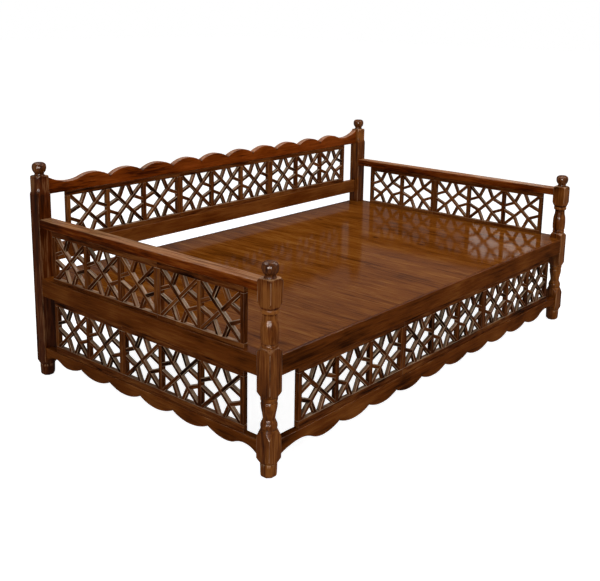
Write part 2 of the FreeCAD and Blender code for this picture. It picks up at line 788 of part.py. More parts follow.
left_edges = scallop_edges(
    left_scallop_count, left_scallop_pitch, lower_rail_top - left_scallop_cusp,
    lower_rail_top - left_scallop_depth, lower_rail_top - left_arch_depth,
    left_arch_run, inner_y, lower_rail_end)
left_rail = turned_about_z(scalloped_rail(left_edges, inner_y, lower_rail_end, lower_rail_top), -90)
left_rail = moved(left_rail, x=thin_rail_recess - half_length)
left_rail = with_tenons(left_rail, tenons["left_scalloped_rail"])
nodes["left_scalloped_rail"] = cut_away(
    left_rail, dowel_holes(dowel_centres["left_lower_lattice"], lower_rail_top))

crest_edges = scallop_edges(
    long_scallop_count, long_scallop_pitch, crest_bottom + crest_cusp, crest_bottom + crest_peak,
    crest_bottom + crest_dip, crest_dip_run, inner_x, crest_bottom + crest_end)
crest = scalloped_rail(crest_edges, inner_x, crest_bottom + crest_end, crest_bottom)
crest = moved(crest, y=half_depth - thin_rail_recess - thin_rail_thickness)
crest = with_tenons(crest, tenons["crest_rail"])
nodes["crest_rail"] = cut_away(crest, dowel_holes(dowel_centres["back_lattice"], crest_bottom))

back_rail_y = outer_band(half_depth, 1, thin_rail_recess, thin_rail_thickness)
back_rail = box((-inner_x, inner_x), back_rail_y, (back_rail_bottom, back_rail_top))
back_rail = with_tenons(back_rail, tenons["back_bottom_rail"])
nodes["back_bottom_rail"] = cut_away(back_rail, dowel_holes(dowel_centres["back_lattice"], back_rail_top))

# Handrails
for name, side in (("left", -1), ("right", 1)):
    rail = handrail(side, tenons[name + "_handrail"])
    holes = dowel_holes(dowel_centres[name + "_arm_lattice"], handrail_bottom)
    nodes[name + "_handrail"] = cut_away(rail, holes)

# Deck boards, bearers and screws
board_width = 2 * deck_half_length / board_count
board_middles = [-deck_half_length + (number + 0.5) * board_width for number in range(board_count)]
for number in range(board_count):
    nodes["deck_board_%02d" % (number + 1)] = deck_board(number)
for name, side in (("front", -1), ("back", 1)):
    nodes[name + "_bearer"] = bearer(side, board_middles)
screws = [screw_hole(x, side * bearer_offset, 0.0) for x in board_middles for side in (-1, 1)]
nodes["deck_screws"] = Part.makeCompound(screws)

os.makedirs("parts", exist_ok=True)
for name, shape in nodes.items():
    shape.exportStep("parts/" + name + ".step")
    print(name, len(shape.Solids), "solids", "valid" if shape.isValid() else "NOT VALID", round(shape.Volume))
print(len(nodes), "nodes")
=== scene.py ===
import logging
import math
import random
from collections.abc import Callable, Iterator
from contextlib import contextmanager
from dataclasses import dataclass, field
from enum import Enum
from itertools import product

import bmesh
import bpy
from bpy.types import Material, Node, NodeSocket, NodeTree, Object, World
from mathutils import Matrix, Vector, noise


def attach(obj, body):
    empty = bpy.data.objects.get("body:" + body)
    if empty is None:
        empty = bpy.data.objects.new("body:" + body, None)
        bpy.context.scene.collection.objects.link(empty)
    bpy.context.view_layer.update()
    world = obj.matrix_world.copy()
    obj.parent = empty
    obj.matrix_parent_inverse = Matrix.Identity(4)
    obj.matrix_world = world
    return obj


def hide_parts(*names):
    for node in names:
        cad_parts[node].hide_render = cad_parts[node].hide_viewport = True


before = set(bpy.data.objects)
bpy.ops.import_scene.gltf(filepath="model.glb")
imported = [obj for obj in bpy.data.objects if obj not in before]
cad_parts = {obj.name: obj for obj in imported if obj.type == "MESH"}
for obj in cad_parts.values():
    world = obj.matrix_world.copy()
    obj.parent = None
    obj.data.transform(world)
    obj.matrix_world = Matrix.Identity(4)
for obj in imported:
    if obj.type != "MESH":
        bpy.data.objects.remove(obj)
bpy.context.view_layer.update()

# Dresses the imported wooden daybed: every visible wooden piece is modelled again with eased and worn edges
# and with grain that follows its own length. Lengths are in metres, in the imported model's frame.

log = logging.getLogger("daybed")

Pair = tuple[float, float]
Triple = tuple[float, float, float]
Colour = tuple[int, int, int]
Outline = list[Pair]
EdgeTest = Callable[[bmesh.types.BMEdge], bool]

# Point attributes that the materials read
GRAIN = "grain_place"
TONE = "board_tone"
# Rubbed edges above 0 and painted crease shade below 0
WEAR_AND_CREASE_SHADE = "edge_wear"

WHITE = (1.0, 1.0, 1.0, 1.0)


class Slot(Enum):
    """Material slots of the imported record."""

    POST = "post_wood"
    RAIL = "rail_wood"
    LATTICE = "lattice_wood"
    DECK = "deck_wood"


class Run(Enum):
    """Direction that a member and its grain follow."""

    ALONG_X = (1.0, 0.0, 0.0)
    ALONG_Y = (0.0, 1.0, 0.0)
    UPRIGHT = (0.0, 0.0, 1.0)

    @property
    def way(self) -> Vector:
        """The direction as a vector."""
        return Vector(self.value)

    def point(self, length: float, offset: float, height: float) -> Vector:
        """Point at a length along a level run, an offset across it and a height."""
        return Vector((offset, length, height) if self is Run.ALONG_Y else (length, offset, height))


class Side(Enum):
    """Low is the front or the left of the daybed, high the back or the right."""

    LOW = -1
    HIGH = 1


def linear(red: int, green: int, blue: int) -> tuple[float, float, float, float]:
    """Turns a display colour into the linear colour that a shader takes.

    Args:
        red: Red from 0 to 255.
        green: Green from 0 to 255.
        blue: Blue from 0 to 255.

    Returns:
        The linear colour with full alpha.
    """
    shares = [channel / 255 for channel in (red, green, blue)]
    lit = [s / 12.92 if s <= 0.04045 else ((s + 0.055) / 1.055) ** 2.4 for s in shares]
    return (lit[0], lit[1], lit[2], 1.0)


def ramp(value: float, low: float, high: float) -> float:
    """Share of the way from low to high, held between 0 and 1."""
    return min(1.0, max(0.0, (value - low) / (high - low)))


def unevenness(place: Vector, octaves: tuple[Pair, ...]) -> float:
    """Noise at a place, summed over octaves that each have a frequency per metre and a weight."""
    return sum(noise.noise(place * often) * weight for often, weight in octaves)


def share_along(edge: bmesh.types.BMEdge, way: Vector) -> float:
    """How nearly an edge follows a direction, from 0 to 1."""
    return abs((edge.verts[0].co - edge.verts[1].co).normalized().dot(way))


# Shader nodes

@dataclass(frozen=True)
class Layer:
    """One layer of noise in a material.

    Attributes:
        along: How often it changes along the grain.
        across: How often it changes across the grain.
        detail: Detail of the noise.
        weight: Its share in what it is mixed into.
    """

    along: float
    across: float
    detail: float
    weight: float = 1.0


class Desk:
    """Lays out and joins the shader nodes of one tree."""

    def __init__(self, tree: NodeTree) -> None:
        """Keeps the tree that the nodes go into."""
        self.tree = tree

    @classmethod
    def cleared(cls, owner: Material | World) -> "Desk":
        """Empties the tree of a material or a world.

        Args:
            owner: The material or world.

        Returns:
            A desk for its tree.
        """
        owner.use_nodes = True
        owner.node_tree.nodes.clear()
        return cls(owner.node_tree)

    @classmethod
    def group(cls, name: str, inputs: dict[str, str], outputs: dict[str, str]) -> tuple["Desk", dict[str, NodeSocket]]:
        """Starts a shader node group.

        Args:
            name: Name of the group.
            inputs: Socket type of each input by name.
            outputs: Socket type of each output by name.

        Returns:
            A desk for the group, and the sockets that its inputs come from.
        """
        tree = bpy.data.node_groups.new(name, "ShaderNodeTree")
        for way, sockets in (("INPUT", inputs), ("OUTPUT", outputs)):
            for label, kind in sockets.items():
                tree.interface.new_socket(label, in_out=way, socket_type="NodeSocket" + kind)
        given = tree.nodes.new("NodeGroupInput").outputs
        return cls(tree), {label: given[label] for label in inputs}

    def put(self, kind: str, inputs: dict | None = None, **settings: object) -> Node:
        """Adds one node.

        Args:
            kind: Node type without its ShaderNode prefix, or a whole NodeGroup type.
            inputs: Values or sockets by input name or number.
            settings: Properties of the node.

        Returns:
            The new node.
        """
        full = kind if kind.startswith("NodeGroup") else "ShaderNode" + kind
        node = self.tree.nodes.new(full)
        for name, value in settings.items():
            setattr(node, name, value)
        for name, value in (inputs or {}).items():
            if isinstance(value, NodeSocket):
                self.tree.links.new(value, node.inputs[name])
            else:
                node.inputs[name].default_value = value
        return node

    def calc(self, operation: str, *values: float | NodeSocket) -> NodeSocket:
        """Adds a Math node and gives its result."""
        return self.put("Math", dict(enumerate(values)), operation=operation).outputs[0]

    def scaled(self, vector: NodeSocket, factors: Triple) -> NodeSocket:
        """Stretches a vector by one factor for each axis."""
        return self.put("VectorMath", {0: vector, 1: factors}, operation="MULTIPLY").outputs[0]

    def cloud(self, vector: NodeSocket, layer: Layer) -> NodeSocket:
        """Noise from 0 to 1, stretched along the grain."""
        inputs = {"Vector": self.scaled(vector, (layer.along, layer.across, layer.across)), "Scale": 1.0,
                  "Detail": layer.detail, "Roughness": 0.6}
        return self.put("TexNoise", inputs).outputs["Fac"]

    def remap(self, value: NodeSocket, low: float, high: float) -> NodeSocket:
        """Stretches a range to 0 to 1 with soft ends."""
        return self.put("MapRange", {"Value": value, 1: low, 2: high}, interpolation_type="SMOOTHSTEP").outputs[0]

    def blended(self, factor: float | NodeSocket, first: object, second: object) -> NodeSocket:
        """Mixes two colours."""
        return self.put("Mix", {0: factor, 6: first, 7: second}, data_type="RGBA").outputs[2]


@dataclass(frozen=True)
class TimberGroup:
    """Shader group that gives stained timber its colour, its relief and its polish.

    Attributes:
        sway: Slow drift of the grain to the side.
        sway_reach: Reach of that drift.
        bands: Broad streaks.
        lines: Fine streaks.
        streaks: Finest streaks, which also make the relief.
        mass: Clouds of lighter and darker wood.
        pores: Short dark pits.
        pore_span: Range of the pores' noise that is pitted.
        ring_weight: Share of the year rings.
        tone_step: Shade added by one step of a board's tone.
        knot_depth: Shade taken away by a knot.
        dark_span: Range of the shade from the dark colour to the body.
        light_span: Range of the shade from the body to the light colour.
    """

    sway: Layer = Layer(1.6, 5.0, 2.0)
    sway_reach: float = 0.05
    bands: Layer = Layer(2.4, 26.0, 3.0, 0.50)
    lines: Layer = Layer(6.0, 110.0, 4.0, 0.95)
    streaks: Layer = Layer(14.0, 290.0, 4.0, 0.80)
    mass: Layer = Layer(3.2, 13.0, 3.0, 0.95)
    pores: Layer = Layer(26.0, 1100.0, 2.0, 0.45)
    pore_span: Pair = (0.56, 0.70)
    ring_weight: float = 0.12
    tone_step: float = 0.05
    knot_depth: float = 0.34
    dark_span: Pair = (0.20, 0.52)
    light_span: Pair = (0.48, 0.82)

    def rings(self, desk: Desk, grain: NodeSocket) -> NodeSocket:
        """Slanted year rings, from 0 to 1."""
        inputs = {"Vector": desk.scaled(grain, (0.12, 1.0, 1.0)), "Scale": 30.0, "Distortion": 7.0, "Detail": 3.0,
                  "Detail Scale": 0.35, "Detail Roughness": 0.6}
        return desk.put("TexWave", inputs, wave_type="RINGS", rings_direction="X", wave_profile="SAW").outputs["Fac"]

    def knots(self, desk: Desk, grain: NodeSocket) -> NodeSocket:
        """Scattered knots.

        Args:
            desk: Desk of the group.
            grain: Place in the board.

        Returns:
            1 in the middle of a knot and 0 away from one.
        """
        cells = desk.put("TexVoronoi", {"Vector": desk.scaled(grain, (4.5, 9.0, 9.0)), "Scale": 1.0}).outputs
        chosen = desk.calc("GREATER_THAN", desk.put("SeparateXYZ", {0: cells["Color"]}).outputs["X"], 0.8)
        near = desk.calc("SUBTRACT", 1.0, desk.remap(cells["Distance"], 0.02, 0.15))
        return desk.calc("MULTIPLY", near, chosen)

    def build(self) -> NodeTree:
        """Builds the group.

        Returns:
            The node group.
        """
        desk, given = Desk.group(
            "stained_timber",
            {"Grain": "Vector", "Tone": "Float", "Contrast": "Float",
             "Dark": "Color", "Body": "Color", "Light": "Color"},
            {"Color": "Color", "Height": "Float", "Polish": "Float"},
        )
        grain = given["Grain"]
        drift = desk.calc("MULTIPLY", desk.cloud(grain, self.sway), self.sway_reach)
        aside = desk.put("CombineXYZ", {1: drift}).outputs[0]
        swayed = desk.put("VectorMath", {0: grain, 1: aside}, operation="ADD").outputs[0]
        streaks, mass = desk.cloud(swayed, self.streaks), desk.cloud(grain, self.mass)
        pores = desk.remap(desk.cloud(grain, self.pores), *self.pore_span)
        shade = desk.calc("MULTIPLY_ADD", given["Tone"], self.tone_step, 0.5)
        for layer, weight in (
            (self.rings(desk, swayed), self.ring_weight), (desk.cloud(swayed, self.bands), self.bands.weight),
            (desk.cloud(swayed, self.lines), self.lines.weight), (streaks, self.streaks.weight),
            (mass, self.mass.weight),
        ):
            part = desk.calc("MULTIPLY", desk.calc("SUBTRACT", layer, 0.5), weight)
            shade = desk.calc("MULTIPLY_ADD", part, given["Contrast"], shade)
        shade = desk.calc("MULTIPLY_ADD", self.knots(desk, swayed), -self.knot_depth, shade)
        low = desk.blended(desk.remap(shade, *self.dark_span), given["Dark"], given["Body"])
        stained = desk.blended(desk.remap(shade, *self.light_span), low, given["Light"])
        desk.put("NodeGroupOutput", {
            "Color": desk.blended(desk.calc("MULTIPLY", pores, self.pores.weight), stained, given["Dark"]),
            "Height": desk.calc("SUBTRACT", desk.calc("MULTIPLY", streaks, 0.5), desk.calc("MULTIPLY", pores, 0.5)),
            "Polish": desk.calc("ADD", desk.calc("MULTIPLY", streaks, 0.10), desk.calc("MULTIPLY", mass, 0.06)),
        })
        return desk.tree


@dataclass(frozen=True)
class WearAndPaintedLightGroup:
    """Shader group that says where the stain is rubbed off, where light is painted on up-facing faces, and where shade
    is painted into creases along with the stain pooled there.

    Attributes:
        patches: Breaks the rubbed edges up.
        patch_span: Range of the patches' noise that is rubbed.
        strokes: Breaks up, along the grain, the rubbing and the painted light on level faces.
        stroke_span: Range of the strokes' noise that is rubbed.
        falloff: How fast the wear fades away from an edge.
        crease_shade_depth: Strength of the painted shade in the creases, which also stands for stain pooled there.
    """

    patches: Layer = Layer(14.0, 40.0, 4.0)
    patch_span: Pair = (0.36, 0.62)
    strokes: Layer = Layer(7.0, 150.0, 4.0)
    stroke_span: Pair = (0.26, 0.70)
    falloff: float = 1.6
    crease_shade_depth: float = 0.8

    def build(self) -> NodeTree:
        """Builds the group.

        Returns:
            The node group.
        """
        # The first output lightens rubbed edges and paints light on up-facing faces; the second paints shade into
        # creases.
        desk, given = Desk.group(
            "rubbed_edges", {"Grain": "Vector", "Edge": "Float", "Level": "Float"},
            {"Mask": "Float", "CreaseShade": "Float"})
        grain, edge = given["Grain"], given["Edge"]
        patches = desk.remap(desk.cloud(grain, self.patches), *self.patch_span)
        strokes = desk.remap(desk.cloud(grain, self.strokes), *self.stroke_span)
        edges = desk.calc("MULTIPLY", desk.calc("POWER", desk.calc("MAXIMUM", edge, 0.0), self.falloff), patches)
        # Painted shade along creases, where the wear attribute is below 0
        crease = desk.calc("MAXIMUM", desk.calc("MULTIPLY", edge, -1.0), 0.0)
        desk.put("NodeGroupOutput", {
            "Mask": desk.calc("MAXIMUM", edges, desk.calc("MULTIPLY", strokes, given["Level"])),
            "CreaseShade": desk.calc("MULTIPLY", crease, self.crease_shade_depth),
        })
        return desk.tree


@dataclass(frozen=True)
class WoodFinish:
    """A stained and varnished wood.

    Attributes:
        name: Name of the material.
        dark: Display colour of pores and dark grain.
        body: Display colour between the streaks.
        light: Display colour of the palest streaks.
        edge: Display colour where an edge is rubbed, and of the painted light on up-facing faces.
        rough: Lowest roughness under the varnish.
        coat: Weight of the varnish on upright faces.
        top_coat: Weight of the varnish on level faces, which are polished by use.
        handled: Upward share of the normal where the polish starts and where it is full.
        gloss: Roughness of the varnish.
        contrast: Strength of the grain.
        top_wear_and_light: How far up-facing faces are lightened towards the edge colour, as painted light where they
            face the lamps and as rubbing.
        top_wear_light_span: Upward share of the normal where that painted light and rubbing start and where they are
            full.
        relief: Height of the grain in metres.
        run: Direction of the grain where the piece carries no grain of its own.
    """

    name: str
    dark: Colour
    body: Colour
    light: Colour
    edge: Colour
    rough: float = 0.45
    coat: float = 0.14
    top_coat: float = 0.20
    handled: Pair = (0.3, 0.95)
    gloss: float = 0.16
    contrast: float = 1.0
    top_wear_and_light: float = 0.0
    top_wear_light_span: Pair = (0.55, 0.97)
    relief: float = 0.00035
    run: Run | None = None

    def material(self, timber: NodeTree, rubbed: NodeTree) -> Material:
        """Builds the material.

        Args:
            timber: The stained timber group.
            rubbed: The group of rubbed edges, painted light on up-facing faces and painted crease shade.

        Returns:
            The finished material.
        """
        made = bpy.data.materials.new(self.name)
        desk = Desk.cleared(made)
        if self.run is None:
            grain = desk.put("Attribute", attribute_name=GRAIN).outputs["Vector"]
            tone, edge = (desk.put("Attribute", attribute_name=name).outputs["Fac"] for name in (TONE, WEAR_AND_CREASE_SHADE))
        else:
            turn = (0, math.pi / 2, 0) if self.run is Run.UPRIGHT else (0, 0, 0)
            place = desk.put("TexCoord").outputs["Object"]
            grain = desk.put("Mapping", {"Vector": place, "Rotation": turn}).outputs[0]
            tone, edge = 0.0, 0.0
        upward = desk.put("SeparateXYZ", {0: desk.put("NewGeometry").outputs["Normal"]}).outputs["Z"]
        # Painted light on up-facing faces, by how far their normal points up
        level = desk.calc("MULTIPLY", desk.remap(upward, *self.top_wear_light_span), self.top_wear_and_light)
        wood = desk.put("Group", {
            "Grain": grain, "Tone": tone, "Contrast": self.contrast, "Dark": linear(*self.dark),
            "Body": linear(*self.body), "Light": linear(*self.light),
        }, node_tree=timber).outputs
        worn = desk.put("Group", {"Grain": grain, "Edge": edge, "Level": level}, node_tree=rubbed).outputs
        start, full = self.handled
        coat = desk.put("MapRange", {"Value": upward, 1: start, 2: full, 3: self.coat, 4: self.top_coat}).outputs[0]
        # Rubbed edges and the painted light on up-facing faces take the edge colour
        colour = desk.blended(worn["Mask"], wood["Color"], linear(*self.edge))
        # Creases take a third of the dark colour: painted shade, with stain pooled there
        colour = desk.blended(worn["CreaseShade"], colour, linear(*(channel // 3 for channel in self.dark)))
        surface = desk.put("BsdfPrincipled", {
            "Base Color": colour,
            "Roughness": desk.calc("ADD", wood["Polish"], self.rough),
            "Specular IOR Level": 0.0,
            "Coat Weight": coat,
            "Coat Roughness": self.gloss,
            "Normal": desk.put("Bump", {"Height": wood["Height"], "Distance": self.relief, "Strength": 1.0}).outputs[0],
        })
        desk.put("OutputMaterial", {"Surface": surface.outputs[0]})
        return made


@dataclass(frozen=True)
class SteelFinish:
    """Dull steel of the screws.

    Attributes:
        name: Name of the material.
        colour: Display colour of the bright steel.
        stain: Display colour of its spots.
        spots: Noise of the spots.
        spot_span: Range of that noise from bright to stained.
    """

    name: str = "dull_steel"
    colour: Colour = (150, 148, 144)
    stain: Colour = (92, 84, 76)
    spots: Layer = Layer(220.0, 220.0, 4.0)
    spot_span: Pair = (0.45, 0.75)

    def material(self) -> Material:
        """Builds the material.

        Returns:
            The finished material.
        """
        made = bpy.data.materials.new(self.name)
        desk = Desk.cleared(made)
        spots = desk.cloud(desk.put("TexCoord").outputs["Object"], self.spots)
        surface = desk.put("BsdfPrincipled", {
            "Base Color": desk.blended(desk.remap(spots, *self.spot_span), linear(*self.colour), linear(*self.stain)),
            "Metallic": 1.0,
            "Roughness": desk.calc("ADD", desk.calc("MULTIPLY", spots, 0.3), 0.25),
        })
        desk.put("OutputMaterial", {"Surface": surface.outputs[0]})
        return made


# Modelling

@dataclass
class Bench:
    """Modelling steps that the pieces share.

    Attributes:
        seed: Seed of the dice that place the grain.
        sharp: Angle between two faces from which an edge is rounded.
        narrow: Width up to which a face counts as part of a rounding.
        folded: Angle from which an edge is a joint between members and not a rounding.
        creased: Angles of a crease where the painted shade, which also stands for pooled stain, starts and where it is
            full.
        rounded: Angles of a rounding where wear starts and where it is full.
        wandering: Angle from which an edge wears unevenly.
        bites: Frequency per metre and weight of the uneven wear.
        bite_floor: Share of the wear that is even.
        patches: Frequency per metre and weight of the lighter and darker patches.
        patch_tone: Tone added in a patch.
        fade: Height over which a ring's tone sets in.
    """

    seed: int
    sharp: float = 0.6
    narrow: float = 0.0045
    folded: float = 1.2
    creased: Pair = (0.35, 0.8)
    rounded: Pair = (0.44, 0.69)
    wandering: float = 0.42
    bites: tuple[Pair, ...] = ((23.0, 0.6), (71.0, 0.4))
    bite_floor: float = 0.35
    patches: tuple[Pair, ...] = ((4.0, 1.0), (11.0, 0.6))
    patch_tone: float = 4.0
    fade: float = 0.0008

    def __post_init__(self) -> None:
        """Starts the seeded dice."""
        self.dice = random.Random(self.seed)

    def select(self, *pieces: Object) -> None:
        """Selects pieces and nothing else, in object mode.

        Args:
            pieces: The pieces, of which the first is made the active one.
        """
        if bpy.context.mode != "OBJECT":
            bpy.ops.object.mode_set(mode="OBJECT")
        bpy.ops.object.select_all(action="DESELECT")
        for piece in pieces:
            piece.select_set(True)
        if pieces:
            bpy.context.view_layer.objects.active = pieces[0]

    @contextmanager
    def editing(self, piece: Object, whole: bool = False) -> Iterator[None]:
        """Opens one piece in edit mode.

        Args:
            piece: The piece.
            whole: Whether all of it is selected, or else nothing.
        """
        self.select(piece)
        bpy.ops.object.mode_set(mode="EDIT")
        bpy.ops.mesh.select_all(action="SELECT" if whole else "DESELECT")
        yield
        bpy.ops.object.mode_set(mode="OBJECT")

    def pick(self, piece: Object, kind: str, test: Callable[[object], bool]) -> None:
        """Selects the faces or the edges that pass a test, in edit mode.

        Args:
            piece: The piece.
            kind: FACE or EDGE.
            test: Says which of them are selected.
        """
        bpy.ops.mesh.select_all(action="DESELECT")
        bpy.ops.mesh.select_mode(type=kind)
        shape = bmesh.from_edit_mesh(piece.data)
        for item in shape.faces if kind == "FACE" else shape.edges:
            item.select_set(test(item))
        bmesh.update_edit_mesh(piece.data)

    def modify(self, piece: Object, kind: str, **settings: object) -> None:
        """Applies one modifier to a piece.

        Args:
            piece: The piece.
            kind: Type of the modifier.
            settings: Its properties.
        """
        self.select(piece)
        modifier = piece.modifiers.new(kind, kind)
        for name, value in settings.items():
            setattr(modifier, name, value)
        bpy.ops.object.modifier_apply(modifier=modifier.name)

    def block(self, first: Vector | Triple, second: Vector | Triple) -> Object:
        """Adds a block between two opposite corners.

        Args:
            first: One corner.
            second: The corner opposite to it.

        Returns:
            The block, its place in its mesh.
        """
        low, high = (Vector([order(a, b) for a, b in zip(first, second)]) for order in (min, max))
        self.select()
        bpy.ops.mesh.primitive_cube_add(size=1.0, location=(low + high) / 2)
        piece = bpy.context.object
        piece.scale = high - low
        bpy.ops.object.transform_apply(location=True, rotation=True, scale=True)
        return piece

    def sheet(self, columns: int, rows: int, place: Callable[[int, int], Vector | Triple]) -> Object:
        """Adds a fine sheet and puts each of its points in its place.

        Args:
            columns: Steps across the sheet.
            rows: Steps up the sheet.
            place: Gives the point of a column and a row.

        Returns:
            The sheet.
        """
        self.select()
        bpy.ops.mesh.primitive_grid_add(x_subdivisions=columns, y_subdivisions=rows, size=2.0, location=(0, 0, 0))
        piece = bpy.context.object
        for vertex in piece.data.vertices:
            vertex.co = place(round((vertex.co.x + 1) / 2 * columns), round((vertex.co.y + 1) / 2 * rows))
        return piece

    def divide(self, piece: Object, way: Vector, step: float) -> None:
        """Cuts a straight piece into equal lengths, so that its edges can wander.

        Args:
            piece: The piece.
            way: Direction of its length.
            step: Greatest length between two cuts.
        """
        with self.editing(piece):
            edges = bmesh.from_edit_mesh(piece.data).edges
            longest = max(e.calc_length() for e in edges if share_along(e, way) > 0.999)
            self.pick(piece, "EDGE", lambda e: share_along(e, way) > 0.999)
            bpy.ops.mesh.subdivide(number_cuts=max(1, int(longest / step)))

    def ease(self, piece: Object, width: float, segments: int = 2, test: EdgeTest = lambda edge: True) -> None:
        """Rounds the sharp edges that pass a test.

        Args:
            piece: The piece.
            width: Width of the rounding.
            segments: Faces across the rounding.
            test: Says which sharp edges are rounded.
        """
        with self.editing(piece):
            self.pick(piece, "EDGE", lambda e: e.calc_face_angle(0.0) > self.sharp and test(e))
            bpy.ops.mesh.bevel(offset=width, segments=segments, affect="EDGES", clamp_overlap=True)

    def cut(self, piece: Object, point: Vector, normal: Vector) -> None:
        """Saws a piece off flat and closes the end. The side that the normal points to is thrown away."""
        with self.editing(piece, whole=True):
            bpy.ops.mesh.bisect(plane_co=point, plane_no=normal, use_fill=True, clear_outer=True)

    def hollow(self, piece: Object, tool: Object) -> None:
        """Takes a tool's shape out of a piece and removes the tool."""
        self.modify(piece, "BOOLEAN", operation="DIFFERENCE", object=tool)
        bpy.data.objects.remove(tool)

    def joined(self, pieces: list[Object]) -> Object:
        """Joins several objects.

        Args:
            pieces: The objects.

        Returns:
            The first of them, which holds them all.
        """
        self.select(*pieces)
        bpy.ops.object.join()
        return pieces[0]

    def copy_of(self, piece: Object) -> Object:
        """Copies a piece.

        Args:
            piece: The piece.

        Returns:
            Its copy, with a mesh of its own.
        """
        twin = piece.copy()
        twin.data = piece.data.copy()
        bpy.context.scene.collection.objects.link(twin)
        return twin

    def outward(self, piece: Object) -> None:
        """Turns every face outwards."""
        with self.editing(piece, whole=True):
            bpy.ops.mesh.normals_make_consistent(inside=False)

    def write(self, piece: Object, name: str, kind: str, values: list[float]) -> None:
        """Writes one value for every point of a piece, as a FLOAT or a FLOAT_VECTOR attribute."""
        attribute = piece.data.attributes.new(name, kind, "POINT")
        attribute.data.foreach_set("value" if kind == "FLOAT" else "vector", values)

    def lay_grain(self, piece: Object, way: Vector, tone: float | None = None) -> None:
        """Writes where every point lies in the board that the piece is cut from.

        Args:
            piece: The piece.
            way: Direction of the grain.
            tone: Lightness of this board, or none for a random one from -1 to 1.
        """
        side = Vector((0, 0, 1)) if abs(way.z) < 0.9 else Vector((1, 0, 0))
        across = way.cross(side).normalized()
        up = across.cross(way).normalized()
        start = Vector((self.dice.uniform(-9, 9), self.dice.uniform(0.04, 0.16), self.dice.uniform(-0.12, 0.12)))
        start.y *= self.dice.choice((-1, 1))
        shift = self.dice.uniform(-1, 1) if tone is None else tone
        centre = sum((v.co for v in piece.data.vertices), Vector()) / len(piece.data.vertices)
        places: list[float] = []
        for vertex in piece.data.vertices:
            local = vertex.co - centre
            places.extend(start + Vector((vertex.co.dot(way), local.dot(across), local.dot(up))))
        self.write(piece, GRAIN, "FLOAT_VECTOR", places)
        self.write(piece, TONE, "FLOAT", [shift] * len(piece.data.vertices))

    def shade(self, piece: Object, rule: Callable[[Vector], float]) -> None:
        """Adds to each point's tone what a rule gives for its place."""
        for vertex, tone in zip(piece.data.vertices, piece.data.attributes[TONE].data):
            tone.value += rule(vertex.co)

    def lighten(self, piece: Object, amount: float) -> None:
        """Lightens a whole piece."""
        self.shade(piece, lambda place: amount)

    def tint(self, piece: Object, low: float, high: float, amount: float) -> None:
        """Lightens what lies above a height, in full from a second height on."""
        self.shade(piece, lambda place: amount * ramp(place.z, low, high))

    def band(self, piece: Object, low: float, high: float, amount: float) -> None:
        """Lightens a ring of a turned piece between two heights."""
        self.tint(piece, low, low + self.fade, amount)
        self.tint(piece, high, high + self.fade, -amount)

    def mottle(self, piece: Object) -> None:
        """Makes a piece lighter and darker along its length."""
        self.shade(piece, lambda place: self.patch_tone * unevenness(place, self.patches))

    def wander(self, piece: Object, amount: float) -> None:
        """Wears the rounded edges unevenly.

        Args:
            piece: The piece.
            amount: Deepest wear.
        """
        shape = bmesh.new()
        shape.from_mesh(piece.data)
        shape.normal_update()
        moves = []
        for vertex in shape.verts:
            bend = max((e.calc_face_angle(0.0) for e in vertex.link_edges), default=0.0)
            if bend > self.wandering:
                share = max(0.0, self.bite_floor + unevenness(vertex.co, self.bites))
                moves.append((vertex, vertex.normal * -amount * share))
        for vertex, move in moves:
            vertex.co += move
        shape.to_mesh(piece.data)
        shape.free()

    def mark_wear_and_crease_shade(self, piece: Object, share: float) -> None:
        """Writes where edges stand out, from 0 on the flats to the share, and down to -1 along creases, where shade is
        painted.

        Args:
            piece: The piece.
            share: Strongest wear.
        """
        shape = bmesh.new()
        shape.from_mesh(piece.data)
        marks = []
        for vertex in shape.verts:
            bends = [a for a in (e.calc_face_angle_signed(0.0) for e in vertex.link_edges) if abs(a) < self.folded]
            widths = [f.calc_area() / max(e.calc_length() for e in f.edges) for f in vertex.link_faces
                      if len(f.verts) < 5]
            crease = -min(bends, default=0.0)
            if crease > self.creased[0]:
                marks.append(-min(1.0, crease / self.creased[1]))
            elif max(widths, default=1.0) < self.narrow:
                marks.append(share * ramp(max(bends, default=0.0), *self.rounded))
            else:
                marks.append(0.0)
        shape.free()
        self.write(piece, WEAR_AND_CREASE_SHADE, "FLOAT", marks)

    def smooth(self, piece: Object, degrees: float, weighted: bool) -> None:
        """Shades a piece smooth.

        Args:
            piece: The piece.
            degrees: Angle up to which two faces are shaded as one.
            weighted: Whether large faces rule the shading, which keeps flats flat.
        """
        self.select(piece)
        bpy.ops.object.shade_smooth_by_angle(angle=math.radians(degrees))
        if weighted:
            self.modify(piece, "WEIGHTED_NORMAL", keep_sharp=True)


@dataclass
class Shop:
    """The bench and the finishes that the sub-assemblies share, and the hand-over of finished pieces.

    Attributes:
        bench: The modelling bench.
        finishes: Material of each slot.
        special: Materials of the nodes that differ from their slot.
        count: Pieces delivered.
    """

    bench: Bench
    finishes: dict[Slot, Material]
    special: dict[str, Material]
    count: int = 0

    def deliver(self, piece: Object, node: str, slot: Slot, smooth: float = 55.0, weighted: bool = True,
                worn: float = 0.8) -> None:
        """Dresses a finished piece and sets it in place of its node.

        Args:
            piece: The finished piece.
            node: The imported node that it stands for.
            slot: The record's material slot.
            smooth: Angle in degrees up to which the shading is smooth.
            weighted: Whether large faces rule the shading.
            worn: How strongly its edges are rubbed.
        """
        self.bench.mark_wear_and_crease_shade(piece, worn)
        self.bench.smooth(piece, smooth, weighted)
        piece.name = piece.data.name = node + "_dressed"
        piece.data.materials.clear()
        piece.data.materials.append(self.special.get(node, self.finishes[slot]))
        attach(piece, "root")
        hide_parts(node)
        self.count += 1
        log.info("%s: %d faces, %s", piece.name, len(piece.data.polygons), slot.value)


# The daybed's own sizes

